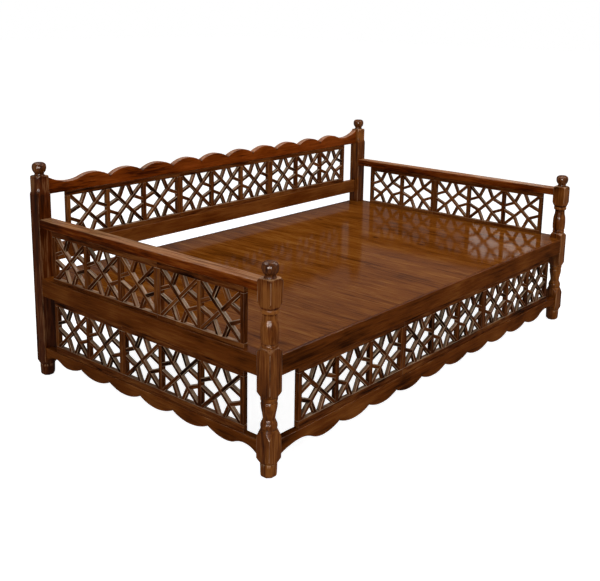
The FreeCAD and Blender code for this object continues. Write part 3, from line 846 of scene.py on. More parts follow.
@dataclass(frozen=True)
class Plan:
    """Main sizes and heights that several sub-assemblies share."""

    half_length: float = 1.000
    half_depth: float = 0.605
    post: float = 0.055
    seat_top: float = 0.391
    seat_bottom: float = 0.324
    board_bottom: float = 0.373
    lower_top: float = 0.117
    handrail_bottom: float = 0.587
    handrail_top: float = 0.618
    back_bottom: float = 0.442
    back_top: float = 0.505
    crest_bottom: float = 0.702
    front_post_top: float = 0.628
    back_post_top: float = 0.776
    deck_half_length: float = 0.960
    deck_half_depth: float = 0.593

    @property
    def inner_x(self) -> float:
        """Half the clear length between the posts."""
        return self.half_length - self.post

    @property
    def inner_y(self) -> float:
        """Half the clear depth between the posts."""
        return self.half_depth - self.post


@dataclass
class Assembly:
    """A sub-assembly, with the shop that makes it and the plan that it follows."""

    shop: Shop
    plan: Plan

    @property
    def bench(self) -> Bench:
        """The shop's bench."""
        return self.shop.bench

    def make(self) -> None:
        """Makes and delivers the pieces."""
        raise NotImplementedError


def curve_through(points: tuple[Pair, ...], steps: int = 9) -> Outline:
    """Smooth line through points, or the straight line between two.

    Args:
        points: The points in order.
        steps: Pieces in each span.

    Returns:
        The points of the line.
    """
    if len(points) == 2:
        return list(points)
    first = tuple(2 * a - b for a, b in zip(points[0], points[1]))
    last = tuple(2 * a - b for a, b in zip(points[-1], points[-2]))
    knots = [first, *points, last]
    line = []
    for before, start, end, after in zip(knots, knots[1:], knots[2:], knots[3:]):
        for step in range(steps):
            t = step / steps
            line.append(tuple(
                0.5 * (2 * b + (c - a) * t + (2 * a - 5 * b + 4 * c - d) * t * t + (3 * b - a - 3 * c + d) * t ** 3)
                for a, b, c, d in zip(before, start, end, after)))
    line.append(points[-1])
    return line


@dataclass
class Turner:
    """Makes upright pieces ring by ring, as on a lathe.

    Attributes:
        bench: The modelling bench.
        step: Greatest height of a ring where the radius changes.
        long_step: Greatest height of a ring where it doesn't.
        corner: Length cut off on both sides of a sharp corner.
        corner_turn: Turn of the outline from which a corner is sharp.
    """

    bench: Bench
    step: float = 0.0016
    long_step: float = 0.024
    corner: float = 0.0006
    corner_turn: float = 0.30

    def softened(self, outline: Outline) -> Outline:
        """Cuts the sharp corners of a (height, radius) outline and divides its long runs.

        Args:
            outline: Heights and radii from the bottom up.

        Returns:
            The denser outline.
        """
        soft = [outline[0]]
        for before, here, after in zip(outline, outline[1:], outline[2:]):
            a, b = Vector(here) - Vector(before), Vector(after) - Vector(here)
            if min(a.length, b.length) < 1e-7:
                continue
            if a.angle(b) > self.corner_turn and min(a.length, b.length) > 2 * self.corner:
                soft.append(tuple(Vector(here) - a.normalized() * self.corner))
                soft.append(tuple(Vector(here) + b.normalized() * self.corner))
            else:
                soft.append(here)
        soft.append(outline[-1])
        dense = [soft[0]]
        for here, after in zip(soft, soft[1:]):
            step = self.step if abs(here[1] - after[1]) > 1e-6 else self.long_step
            pieces = max(1, math.ceil(abs(after[0] - here[0]) / step))
            for piece in range(1, pieces + 1):
                dense.append(tuple(h + (a - h) * piece / pieces for h, a in zip(here, after)))
        return dense

    def turned(self, outline: Outline, angles: list[float], section: Callable[[float, float, float], float]) -> Object:
        """Rolls a fine sheet into a closed upright piece on the Z axis.

        Args:
            outline: Heights and radii from the bottom up.
            angles: Angles of the points of a ring.
            section: Gives the reach at an angle, height and outline radius.

        Returns:
            The closed piece.
        """
        def place(column: int, row: int) -> Triple:
            """Point of the sheet once it is rolled.

            Args:
                column: Number of its angle.
                row: Number of its ring.

            Returns:
                The point.
            """
            angle, (height, radius) = angles[column % len(angles)], outline[row]
            reach = section(angle, height, radius)
            return (reach * math.cos(angle), reach * math.sin(angle), height)

        piece = self.bench.sheet(len(angles), len(outline) - 1, place)
        with self.bench.editing(piece, whole=True):
            bpy.ops.mesh.remove_doubles(threshold=1e-6)
            for end in (outline[0][0], outline[-1][0]):
                self.bench.pick(piece, "EDGE", lambda e: e.is_boundary and abs(e.verts[0].co.z - end) < 1e-5)
                bpy.ops.mesh.edge_face_add()
        self.bench.outward(piece)
        return piece


@dataclass
class Posts(Assembly):
    """The four posts with their feet and knobs.

    A turning lists its stretches from the bottom up, each as shares of the height and of the full radius.
    A tone is what is added to the lightness of a part, and a fade is the height over which it sets in.

    Attributes:
        half: Half the width of a square post.
        foot_height: Height of the eight-sided foot.
        foot_top: Width of the foot at its top.
        foot_bottom: Width of the foot at the floor.
        foot_round: Rounding of the foot at the floor.
        foot_facet: Share of the foot's corners that is left.
        foot_rings: Heights of the foot's rings above its rounding.
        drooping: Height of the slope below a block.
        rising: Height of the slope above a block.
        top_bevel: Bevel of a post's top.
        lower_block_top: Height at which the lower turning starts.
        seat_block_bottom: Height at which it ends, with the block at the seat above it.
        seat_block_top: Height at which the upper turning starts.
        top_block_bottom: Height at which it ends, with the top block above it.
        front_corner: Rounding of a front post's upright corners.
        back_corner: Rounding of a back post's upright corners.
        head_start: Height where the chamfers of a back post's head start.
        head_stop: Height over which they deepen.
        head_cut: Depth of the chamfers, measured along a side.
        knob_height: Height of a knob.
        knob_half: Half the greatest width of a knob.
        knob_cap: Radii of the rings on a knob's flat top.
        knob_angles: Points in a ring of a knob.
        wear: Deepest wear of the edges.
        corner_tone: Tone of the lines beside a front post's corners.
        bevel_shade_line: Depths below the top where the painted shade over the bevel starts and is full.
        ring_highlight_and_groove_shade: Shares of the upper turning where a band starts and ends, and its tone: a
            painted highlight on the ring and painted shade in the grooves beside it.
    """

    half: float = 0.0275
    foot_height: float = 0.047
    foot_top: float = 0.053
    foot_bottom: float = 0.049
    foot_round: float = 0.011
    foot_facet: float = 0.992
    foot_rings: tuple[float, ...] = (0.02, 0.034, 0.0468)
    drooping: float = 0.014
    rising: float = 0.011
    top_bevel: float = 0.008
    lower_block_top: float = 0.140
    seat_block_bottom: float = 0.261
    seat_block_top: float = 0.412
    top_block_bottom: float = 0.543
    front_corner: float = 0.0018
    back_corner: float = 0.0026
    head_start: float = 0.705
    head_stop: float = 0.014
    head_cut: float = 0.009
    knob_height: float = 0.049
    knob_half: float = 0.026
    knob_cap: Pair = (0.0105, 0.005)
    knob_angles: int = 64
    wear: float = 0.0005
    front_tone: float = 1.1
    top_block_tone: float = 1.4
    top_block_fade: float = 0.002
    corner_tone: float = -2.6
    back_tone: float = -1.4
    # Painted highlight on a back post's chamfered head
    head_highlight_tone: float = 6.0
    head_fade: float = 0.02
    # Painted shade over the bevel of a post's top and painted light on its top face
    bevel_shade_tone: float = -3.2
    bevel_shade_line: Pair = (0.0098, 0.0080)
    crown_light_tone: float = 4.0
    crown_fade: float = 0.0012
    front_knob_tone: float = -1.8
    ring_highlight_and_groove_shade: tuple[Triple, ...] = ((0.79, 0.83, -4.0), (0.85, 0.935, 5.0), (0.945, 0.985, -5.0))
    lower_turning: tuple = (
        ((0, .96), (.12, .95)),
        ((.12, .95), (.145, .89)),
        ((.145, .89), (.21, .955), (.28, .93), (.36, .78), (.42, .70), (.53, .76), (.68, .89), (.82, .96)),
        ((.82, .96), (.855, .88)),
        ((.855, .88), (.92, .97), (1, .96)),
    )
    upper_turning: tuple = (
        ((0, .95), (.02, .87)),
        ((.02, .87), (.07, .95), (.12, .87)),
        ((.12, .87), (.17, .96), (.28, 1), (.42, 1), (.54, .96), (.62, .89), (.69, .80)),
        ((.69, .80), (.76, .78), (.83, .79)),
        ((.83, .79), (.84, .94)),
        ((.84, .94), (.865, .985), (.915, .985), (.94, .94)),
        ((.94, .94), (.95, .82)),
        ((.95, .82), (.975, .82)),
        ((.975, .82), (1, .95)),
    )
    knob_turning: tuple = (
        ((0, .76), (.04, .76)),
        ((.04, .76), (.10, .67), (.20, .66)),
        ((.20, .66), (.36, .88), (.55, .99), (.70, 1), (.85, .94), (.94, .80)),
        ((.94, .80), (1, .62)),
    )

    @property
    def diagonal(self) -> float:
        """Reach of the square's corner."""
        return self.half * math.hypot(1, 1)

    def stretch(self, turning: tuple, bottom: float, top: float, full: float) -> Outline:
        """Heights and radii of a turned stretch between two heights, with its full radius."""
        points = (point for run in turning for point in curve_through(run))
        return [(bottom + share * (top - bottom), reach * full) for share, reach in points]

    def squared(self, bottom: float, top: float, below: float, above: float) -> Outline:
        """Outline of a square block between two heights and the radii that it starts and ends with."""
        return [(bottom, below), (bottom + self.drooping, self.diagonal), (top - self.rising, self.diagonal),
                (top, above)]

    def capped(self, top: float) -> Outline:
        """Outline of a post's bevelled top."""
        return [(top - self.top_bevel, self.diagonal), (top, self.diagonal - self.top_bevel)]

    def foot_outline(self) -> Outline:
        """Heights of the foot's rings, radius 0 standing for the foot's own section."""
        bends = [self.foot_round * (1 - math.cos(math.pi / 16 * step)) for step in range(9)]
        return [(height, 0.0) for height in (*bends, *self.foot_rings)]

    def front_outline(self) -> Outline:
        """Outline of a front post above its foot.

        Returns:
            Heights and radii from the bottom up.
        """
        lower, upper = (turning[0][0][1] * self.half for turning in (self.lower_turning, self.upper_turning))
        return [
            *self.squared(self.foot_height, self.lower_block_top, lower, lower),
            *self.stretch(self.lower_turning, self.lower_block_top, self.seat_block_bottom, self.half),
            *self.squared(self.seat_block_bottom, self.seat_block_top, lower, upper),
            *self.stretch(self.upper_turning, self.seat_block_top, self.top_block_bottom, self.half),
            (self.top_block_bottom, upper), (self.top_block_bottom + self.drooping, self.diagonal),
            *self.capped(self.plan.front_post_top),
        ]

    def back_outline(self) -> Outline:
        """Outline of a back post above its foot.

        Returns:
            Heights and radii from the bottom up.
        """
        return [
            (self.foot_height, self.lower_turning[0][0][1] * self.half),
            (self.foot_height + self.drooping, self.diagonal),
            *((self.head_start + self.head_stop * step / 9, self.diagonal) for step in range(10)),
            *self.capped(self.plan.back_post_top),
        ]

    def angles(self, corner: float) -> list[float]:
        """Angles of a ring, close together at the square's corners and at the foot's.

        Args:
            corner: Radius of the square's corners.

        Returns:
            The angles all round.
        """
        flat = self.half - corner
        tangents = [flat / self.half * step / 9 for step in range(10)]
        octant = [math.atan(t) for t in tangents] + [math.pi / 8]
        quarter = sorted(set(octant)) + [math.pi / 4]
        half_turn = [-a for a in reversed(quarter[1:-1])] + quarter
        return [a + math.pi / 2 * side for side in range(4) for a in half_turn]

    def square_reach(self, angle: float, corner: float) -> float:
        """Reach of a square with rounded corners.

        Args:
            angle: The angle.
            corner: Radius of the corners.

        Returns:
            Its reach at the angle.
        """
        off = (angle + math.pi / 4) % (math.pi / 2) - math.pi / 4
        x, y = self.half, self.half * math.tan(abs(off))
        if y <= self.half - corner:
            return math.hypot(x, y)
        tilt = math.pi / 4 - abs(off)
        middle = (self.half - corner) * math.hypot(1, 1)
        return middle * math.cos(tilt) + math.sqrt(max(0.0, corner ** 2 - (middle * math.sin(tilt)) ** 2))

    def foot_reach(self, angle: float, height: float) -> float:
        """Reach of the eight-sided foot, which is rounded at the floor.

        Args:
            angle: The angle.
            height: The height.

        Returns:
            Its reach at the angle and height.
        """
        width = self.foot_bottom + (self.foot_top - self.foot_bottom) * height / self.foot_height
        if height < self.foot_round:
            turn = math.acos(1 - height / self.foot_round)
            width -= 2 * self.foot_round * (1 - math.sin(turn))
        off = (angle + math.pi / 8) % (math.pi / 4) - math.pi / 8
        return min(width / 2 / math.cos(off), width / 2 / math.cos(math.pi / 8) * self.foot_facet)

    def front_section(self, angle: float, height: float, radius: float) -> float:
        """Reach of a front post at an angle and height."""
        return min(radius, self.square_reach(angle, self.front_corner)) if radius else self.foot_reach(angle, height)

    def back_section(self, angle: float, height: float, radius: float) -> float:
        """Reach of a back post, its head's corners bevelled.

        Args:
            angle: The angle.
            height: The height.
            radius: Radius of the outline, or 0 in the foot.

        Returns:
            Its reach at the angle and height.
        """
        if not radius:
            return self.foot_reach(angle, height)
        reach = min(radius, self.square_reach(angle, self.back_corner))
        share = ramp(height, self.head_start, self.head_start + self.head_stop)
        limit = self.diagonal - share * self.head_cut / math.hypot(1, 1)
        tilt = (angle % (math.pi / 2)) - math.pi / 4
        return min(reach, limit / math.cos(tilt)) if share else reach

    def knob(self, turner: Turner) -> Object:
        """Turns the knob.

        Args:
            turner: The lathe.

        Returns:
            The knob, its foot at the origin.
        """
        outline = turner.softened(self.stretch(self.knob_turning, 0.0, self.knob_height, self.knob_half))
        outline += [(self.knob_height, radius) for radius in self.knob_cap]
        angles = [math.tau * step / self.knob_angles for step in range(self.knob_angles)]
        return turner.turned(outline, angles, lambda angle, height, radius: radius)

    def corner_line(self, place: Vector, x: float, y: float) -> float:
        """Tone of the thin dark lines on both sides of a front post's corners.

        Args:
            place: A point of the post.
            x: Place of its axis.
            y: Place of its axis.

        Returns:
            The tone at the point, 0 away from the lines.
        """
        near, far = sorted((abs(place.x - x), abs(place.y - y)))
        flat, line = abs(far - self.half) < 2e-4, abs(near - self.half + self.front_corner) < 4e-4
        return self.corner_tone if flat and line else 0.0

    def tone_front_with_painted_ring(self, post: Object, x: float, y: float) -> None:
        """Lightens a front post's upper block, paints a highlight on its ring and shade in its grooves, and darkens
        lines beside its corners.

        Args:
            post: The post, its grain laid.
            x: Place of its axis.
            y: Place of its axis.
        """
        self.bench.lighten(post, self.front_tone)
        block = self.top_block_bottom
        self.bench.tint(post, block, block + self.top_block_fade, self.top_block_tone)
        self.bench.shade(post, lambda place: self.corner_line(place, x, y))
        # Painted highlight on the ring under the top block and painted shade in the grooves beside it
        foot, length = self.seat_block_top, block - self.seat_block_top
        for low, high, tone in self.ring_highlight_and_groove_shade:
            self.bench.band(post, foot + low * length, foot + high * length, tone)

    def tone_back_and_light_head(self, post: Object) -> None:
        """Darkens a back post and lightens its head, a painted highlight for the sheen on its chamfers."""
        self.bench.lighten(post, self.back_tone)
        self.bench.tint(post, self.head_start, self.head_start + self.head_fade, self.head_highlight_tone)

    def paint_top_light_and_shade(self, post: Object, top: float) -> None:
        """Paints shade over the bevel of a post's top, from just below it, and paints light on the top itself.

        Args:
            post: The post, its grain laid.
            top: Height of its top.
        """
        # Painted shade over the bevel and painted light on the top face
        start, full = self.bevel_shade_line
        self.bench.tint(post, top - start, top - full, self.bevel_shade_tone)
        self.bench.tint(post, top - self.crown_fade, top, self.crown_light_tone)

    def make(self) -> None:
        """Turns, copies, tones and delivers the posts and knobs, painting light and shade on the front posts' rings,
        the posts' tops and the back posts' heads.
        """
        bench, plan, turner = self.bench, self.plan, Turner(self.bench)
        front, back = (
            turner.turned(self.foot_outline() + turner.softened(outline), self.angles(corner), section)
            for outline, corner, section in (
                (self.front_outline(), self.front_corner, self.front_section),
                (self.back_outline(), self.back_corner, self.back_section),
            ))
        knob = self.knob(turner)
        for row, hand in product(Side, Side):
            is_front = row is Side.LOW
            post, top = (front, plan.front_post_top) if is_front else (back, plan.back_post_top)
            x, y = hand.value * (plan.half_length - self.half), row.value * (plan.half_depth - self.half)
            name = f"{'front' if is_front else 'back'}_{'left' if hand is Side.LOW else 'right'}"
            for pattern, node, height in ((post, name + "_post", 0.0), (knob, name + "_knob", top)):
                piece = bench.copy_of(pattern)
                piece.data.transform(Matrix.Translation((x, y, height)))
                bench.lay_grain(piece, Run.UPRIGHT.way)
                if pattern is front:
                    self.tone_front_with_painted_ring(piece, x, y)
                if pattern is back:
                    self.tone_back_and_light_head(piece)
                if pattern is not knob:
                    self.paint_top_light_and_shade(piece, top)
                elif is_front:
                    bench.lighten(piece, self.front_knob_tone)
                bench.wander(piece, self.wear)
                self.shop.deliver(piece, node, Slot.POST, 40.0, weighted=False)
        for pattern in (front, back, knob):
            bpy.data.objects.remove(pattern)


@dataclass
class StraightRails(Assembly):
    """The seat rails, the handrails and the plain rail below the back lattice.

    Attributes:
        lip: Width of the front and back seat rail outside the boards.
        ledge: Width of the left and right seat rail's ledge.
        long_thickness: Thickness of the front and back seat rail.
        thin_recess: Setback of the plain rail from the posts' outer faces.
        thin_thickness: Thickness of the plain rail.
        thin_tone: Lightness of the plain rail.
        divide: Length between two cuts.
        edge: Rounding of the long edges.
        handrail_edge: Rounding of the handrails' lower edges.
        handrail_round: Rounding of the handrails' upper edges.
        wear: Share of the rounding that is worn away.
        lifts: Tone added to single rails.
    """

    lip: float = 0.012
    ledge: float = 0.015
    long_thickness: float = 0.040
    thin_recess: float = 0.005
    thin_thickness: float = 0.028
    thin_tone: float = 3.0
    divide: float = 0.022
    edge: float = 0.0024
    handrail_edge: float = 0.0028
    handrail_round: float = 0.006
    wear: float = 0.45
    lifts: dict[str, float] = field(default_factory=lambda: {"right_handrail": 2.4, "left_seat_rail": 0.8})

    def stepped(self, first: Vector, second: Vector, inward: Vector, depth: float) -> Object:
        """Rail with a ledge along its inner side for the boards.

        Args:
            first: Corner of the full-height part.
            second: The corner opposite to it.
            inward: Direction of the ledge.
            depth: Width of the ledge.

        Returns:
            The rail.
        """
        bench, ledge_top = self.bench, self.plan.board_bottom
        rail = bench.block(first, second)
        with bench.editing(rail, whole=True):
            bpy.ops.mesh.bisect(plane_co=(0, 0, ledge_top), plane_no=(0, 0, 1))
            bench.pick(rail, "FACE", lambda f: f.normal.dot(inward) > 0.9 and f.calc_center_median().z < ledge_top)
            bpy.ops.mesh.extrude_region_move(TRANSFORM_OT_translate={"value": inward * depth})
        bench.outward(rail)
        return rail

    def finish(self, rail: Object, node: str, run: Run, edge: float, test: EdgeTest | None = None,
               tone: float | None = None) -> None:
        """Divides, eases, wears and delivers a straight rail.

        Args:
            rail: The rail with sharp edges.
            node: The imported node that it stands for.
            run: Direction of the grain.
            edge: Width of the rounding of its long edges.
            test: Says which edges get the handrail's wide rounding first.
            tone: Lightness of the board, or none for a random one.
        """
        bench = self.bench
        bench.divide(rail, run.way, self.divide)
        if test:
            bench.ease(rail, self.handrail_round, 4, test)
        bench.ease(rail, edge, 2, lambda e: share_along(e, run.way) > 0.9)
        bench.wander(rail, edge * self.wear)
        bench.lay_grain(rail, run.way, tone)
        bench.mottle(rail)
        bench.lighten(rail, self.lifts.get(node, 0.0))
        self.shop.deliver(rail, node, Slot.RAIL)

    def make(self) -> None:
        """Makes and delivers the rails."""
        plan = self.plan
        for names, run, half, outer, lip, ledge in (
            (("front", "back"), Run.ALONG_X, plan.inner_x, plan.half_depth, plan.deck_half_depth,
             self.long_thickness - self.lip),
            (("left", "right"), Run.ALONG_Y, plan.inner_y, plan.half_length, plan.deck_half_length, self.ledge),
        ):
            for name, side in zip(names, Side):
                rail = self.stepped(
                    run.point(-half, side.value * outer, plan.seat_bottom),
                    run.point(half, side.value * lip, plan.seat_top), run.point(0, -side.value, 0), ledge)
                self.finish(rail, name + "_seat_rail", run, self.edge)
        middle = (plan.handrail_bottom + plan.handrail_top) / 2
        for name, side in zip(("left", "right"), Side):
            rail = self.bench.block(
                (side.value * plan.half_length, -plan.inner_y, plan.handrail_bottom),
                (side.value * plan.inner_x, plan.inner_y, plan.handrail_top))
            self.finish(rail, name + "_handrail", Run.ALONG_Y, self.handrail_edge, lambda e: (
                share_along(e, Run.ALONG_Y.way) > 0.9 and min(v.co.z for v in e.verts) > middle))
        outer = plan.half_depth - self.thin_recess
        rail = self.bench.block(
            (-plan.inner_x, outer - self.thin_thickness, plan.back_bottom), (plan.inner_x, outer, plan.back_top))
        self.finish(rail, "back_bottom_rail", Run.ALONG_X, self.edge, tone=self.thin_tone)


@dataclass(frozen=True)
class Scallops:
    """Wavy edge of a rail: a row of scallops with an S-curve and a cove at each end.

    Attributes:
        count: Number of scallops.
        pitch: Length of one scallop.
        cusp: Height where two scallops meet.
        peak: Height at the middle of a scallop.
        level: Height of the cove's level point.
        level_run: Length from the last scallop's middle to the level point.
        end: Half the length of the rail.
        end_height: Height at the posts.
    """

    count: int
    pitch: float
    cusp: float
    peak: float
    level: float
    level_run: float
    end: float
    end_height: float

    def arc(self, level: Pair, other: Pair, steps: int) -> Outline:
        """Points of the arc that leaves its level point flat.

        Args:
            level: The level point.
            other: The other end.
            steps: Number of pieces.

        Returns:
            The points from the level point to the other end.
        """
        run, rise = other[0] - level[0], other[1] - level[1]
        radius = (run * run + rise * rise) / (2 * rise)
        line = []
        for step in range(steps + 1):
            x = run * step / steps
            z = radius - math.copysign(math.sqrt(radius * radius - x * x), radius)
            line.append((level[0] + x, level[1] + z))
        return line

    def points(self) -> Outline:
        """The edge's points in order of length.

        Returns:
            Lengths and heights.
        """
        first = (self.count - 1) * self.pitch / 2
        arcs: list[Outline] = []
        for number in range(self.count):
            peak_x = -first + self.pitch * number
            for way in (-1, 1):
                if 0 <= number + way < self.count:
                    arcs.append(self.arc((peak_x, self.peak), (peak_x + way * self.pitch / 2, self.cusp), 9))
        for way in (-1, 1):
            peak, level = (way * first, self.peak), (way * (first + self.level_run), self.level)
            middle = ((peak[0] + level[0]) / 2, (self.peak + self.level) / 2)
            arcs += [self.arc(peak, middle, 7), self.arc(level, middle, 7),
                     self.arc(level, (way * self.end, self.end_height), 9)]
        found = {round(x, 6): z for arc in arcs for x, z in arc}
        return sorted(found.items())


@dataclass
class WavyRails(Assembly):
    """The two scalloped lower rails and the crest rail.

    Attributes:
        recess: Setback from the posts' outer faces.
        thickness: Thickness of the rails.
        rows: Rows of faces between the straight and the wavy edge.
        edge: Rounding of the long edges.
        wear: Deepest wear.
        crest_tone: Lightness of the crest rail.
        front_tone: Lightness of the front rail.
        left_tone: Lightness of the left rail.
    """

    recess: float = 0.005
    thickness: float = 0.028
    rows: int = 3
    edge: float = 0.0026
    wear: float = 0.0011
    front_tone: float = -0.5
    left_tone: float = 1.6
    crest_tone: float = 0.7

    def board(self, edge: Outline, straight: float, run: Run, offset: float) -> Object:
        """Board between a straight edge and a wavy one.

        Args:
            edge: The wavy edge's points.
            straight: Height of the straight edge.
            run: Direction of the board.
            offset: Place of its low side across the run.

        Returns:
            The closed board with sharp edges.
        """
        def place(column: int, row: int) -> Vector:
            """Point of a column and a row."""
            length, wave = edge[column]
            return run.point(length, offset, straight + (wave - straight) * row / self.rows)

        piece = self.bench.sheet(len(edge) - 1, self.rows, place)
        with self.bench.editing(piece, whole=True):
            bpy.ops.mesh.extrude_region_move(TRANSFORM_OT_translate={"value": run.point(0, self.thickness, 0)})
        self.bench.outward(piece)
        return piece

    def finish(self, piece: Object, node: str, run: Run, tone: float) -> None:
        """Eases, wears and delivers a wavy rail.

        Args:
            piece: The rail with sharp edges.
            node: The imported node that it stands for.
            run: Direction of the grain.
            tone: Lightness of the board.
        """
        bench, across = self.bench, run.point(0, 1, 0)
        bench.ease(piece, self.edge, 2, lambda e: share_along(e, across) < 0.5 and share_along(e, run.way) > 0.2)
        bench.wander(piece, self.wear)
        bench.lay_grain(piece, run.way, tone)
        bench.mottle(piece)
        self.shop.deliver(piece, node, Slot.RAIL, 50.0)

    def make(self) -> None:
        """Makes and delivers the three rails."""
        plan = self.plan
        top, foot = plan.lower_top, plan.crest_bottom
        front = Scallops(10, 0.16320, top - 0.043, top - 0.062, top - 0.033, 0.114, plan.inner_x, top - 0.052)
        left = Scallops(6, 0.16650, top - 0.027, top - 0.048, top - 0.030, 0.076, plan.inner_y, top - 0.052)
        crest = Scallops(10, 0.16320, foot + 0.036, foot + 0.060, foot + 0.0395, 0.108, plan.inner_x, foot + 0.069)
        back = plan.half_depth - self.recess - self.thickness
        for node, edge, straight, run, offset, tone in (
            ("front_scalloped_rail", front, top, Run.ALONG_X, self.recess - plan.half_depth, self.front_tone),
            ("left_scalloped_rail", left, top, Run.ALONG_Y, self.recess - plan.half_length, self.left_tone),
            ("crest_rail", crest, foot, Run.ALONG_X, back, self.crest_tone),
        ):
            self.finish(self.board(edge.points(), straight, run, offset), node, run, tone)


@dataclass(frozen=True)
class Panel:
    """Place and make-up of one row of lattice modules.

    Attributes:
        name: Start of the nodes' names.
        modules: Name and number of cells of each module in order.
        run: Direction of the row.
        half_run: Half the length of the row.
        across: Middle plane of the row.
        bottom: Height of its lower edge.
        top: Height of its upper edge.
        frame_tone: Lightness of the frames.
        bar_tone: Lightness of the bars.
    """

    name: str
    modules: dict[str, int]
    run: Run
    half_run: float
    across: float
    bottom: float
    top: float
    frame_tone: float = 0.0
    bar_tone: float = 0.0

    def set_down(self, piece: Object, offset: float) -> None:
        """Moves a piece from the XZ plane's origin to its place in the row."""
        turn = Matrix.Rotation(math.pi / 2, 4, "Z") if self.run is Run.ALONG_Y else Matrix.Identity(4)
        piece.data.transform(Matrix.Translation(self.run.point(offset, self.across, self.bottom)) @ turn)


@dataclass
class Lattices(Assembly):
    """Every lattice module: its frame, and its diagonal and short bars.

    Attributes:
        cell_height: Clear height of a cell.
        frame_width: Width of the uprights.
        frame_thickness: Thickness of the frames.
        recess: Setback of the frames from the daybed's outer faces.
        sunk: How far the arms' lattice starts below the top of the seat.
        long_gap: Gap between a long row and the posts.
        short_gap: Gap between a short row and the posts.
        bar_width: Width of the bars.
        bar_thickness: Thickness of the bars.
        branch: Share of a cell, out from its middle, where short bars leave a diagonal.
        landing: Share of a cell, out from an edge's middle, where they reach the frame.
        frame_ease: Rounding of the frames.
        bar_ease: Rounding of the bars.
        sway: Farthest that a bar sits off its place.
        frame_wear: How strongly the frames' edges are rubbed.
        bar_wear: How strongly the bars' edges are rubbed.
        bar_tones: Range of the bars' lightness.
    """

    cell_height: float = 0.158
    frame_width: float = 0.016
    frame_thickness: float = 0.018
    recess: float = 0.010
    sunk: float = 0.010
    long_gap: float = 0.088
    short_gap: float = 0.062
    bar_width: float = 0.014
    bar_thickness: float = 0.015
    branch: float = 0.21
    landing: float = 0.08
    frame_ease: float = 0.0016
    bar_ease: float = 0.0028
    sway: float = 0.0005
    frame_wear: float = 0.35
    bar_wear: float = 1.0
    bar_tones: Pair = (-4.2, -0.4)

    def panels(self) -> list[Panel]:
        """The five rows of modules.

        Returns:
            The rows in the order in which they are made.
        """
        plan = self.plan
        middle = self.recess + self.frame_thickness / 2
        long_run, short_run = plan.inner_x - self.long_gap, plan.inner_y - self.short_gap
        threes = {"left": 3, "middle": 3, "right": 3}
        front_three, back_three = {"front": 3, "back": 2}, {"front": 2, "back": 3}
        left, arm = middle - plan.half_length, plan.seat_top - self.sunk
        return [
            Panel("back_lattice", threes, Run.ALONG_X, long_run, plan.half_depth - middle,
                  plan.back_top, plan.crest_bottom, 1.6, 0.4),
            Panel("front_lattice", threes, Run.ALONG_X, long_run, middle - plan.half_depth,
                  plan.lower_top, plan.seat_bottom),
            Panel("left_arm_lattice", back_three, Run.ALONG_Y, short_run, left, arm, plan.handrail_bottom, 1.2, 0.8),
            Panel("right_arm_lattice", front_three, Run.ALONG_Y, short_run, -left, arm, plan.handrail_bottom, 3.0, 5.0),
            Panel("left_lower_lattice", front_three, Run.ALONG_Y, short_run, left, plan.lower_top, plan.seat_bottom),
        ]

    def bar(self, start: Vector, end: Vector, extra: Pair) -> Object:
        """One straight bar in the XZ plane with eased long edges.

        Args:
            start: First end of its middle line.
            end: Second end of its middle line.
            extra: Length added at each end.

        Returns:
            The bar.
        """
        way = end - start
        half_w, half_t = self.bar_width / 2, self.bar_thickness / 2
        piece = self.bench.block((-extra[0], -half_t, -half_w), (way.length + extra[1], half_t, half_w))
        self.bench.ease(piece, self.bar_ease, 2, lambda e: share_along(e, Run.ALONG_X.way) > 0.9)
        turn = Matrix.Rotation(-math.atan2(way.z, way.x), 4, "Y")
        piece.data.transform(Matrix.Translation(start) @ turn)
        self.bench.lay_grain(piece, way.normalized())
        return piece

    def cell(self, width: float) -> list[Object]:
        """The bars of one cell, centred on the origin.

        Args:
            width: Width of the cell.

        Returns:
            Eleven bars: one whole diagonal, one in two lapped halves, and eight short bars.
        """
        cut, half_w, half_h = self.bench.cut, width / 2, self.cell_height / 2
        corner = Vector((half_w, 0, half_h))
        rising = corner.normalized()
        beside = Vector((-rising.z, 0, rising.x)) * self.bar_width / 2
        one_end = (0, self.bar_width)
        bars = [self.bar(-corner, corner, (self.bar_width, self.bar_width))]
        for way in (-1, 1):
            bars.append(self.bar(Vector(), Vector((way * half_w, 0, -way * half_h)), one_end))
            cut(bars[-1], beside * -way, beside.normalized() * way)
        for side_x, side_z in product((-1, 1), (-1, 1)):
            branch = Vector((side_x * self.branch * width, 0, side_z * self.branch * self.cell_height))
            leaning = Vector((side_x * half_w, 0, side_z * half_h)).normalized()
            upright = Vector((-leaning.z, 0, leaning.x))
            for landing in (
                Vector((side_x * self.landing * width, 0, side_z * half_h)),
                Vector((side_x * half_w, 0, side_z * self.landing * self.cell_height)),
            ):
                away = upright if (landing - branch).dot(upright) > 0 else -upright
                bars.append(self.bar(branch, landing, one_end))
                cut(bars[-1], branch + away * self.bar_width / 2, -away)
        sides = [Vector(side) for side in ((half_w, 0, 0), (-half_w, 0, 0), (0, 0, half_h), (0, 0, -half_h))]
        for piece in bars:
            for side in sides:
                cut(piece, side, side.normalized())
        return bars

    def stick(self, low: Triple, high: Triple, run: Run) -> Object:
        """One frame member with eased edges.

        Args:
            low: Lowest corner.
            high: Highest corner.
            run: Direction of the grain.

        Returns:
            The member.
        """
        piece = self.bench.block(low, high)
        self.bench.ease(piece, self.frame_ease)
        self.bench.lay_grain(piece, run.way)
        return piece

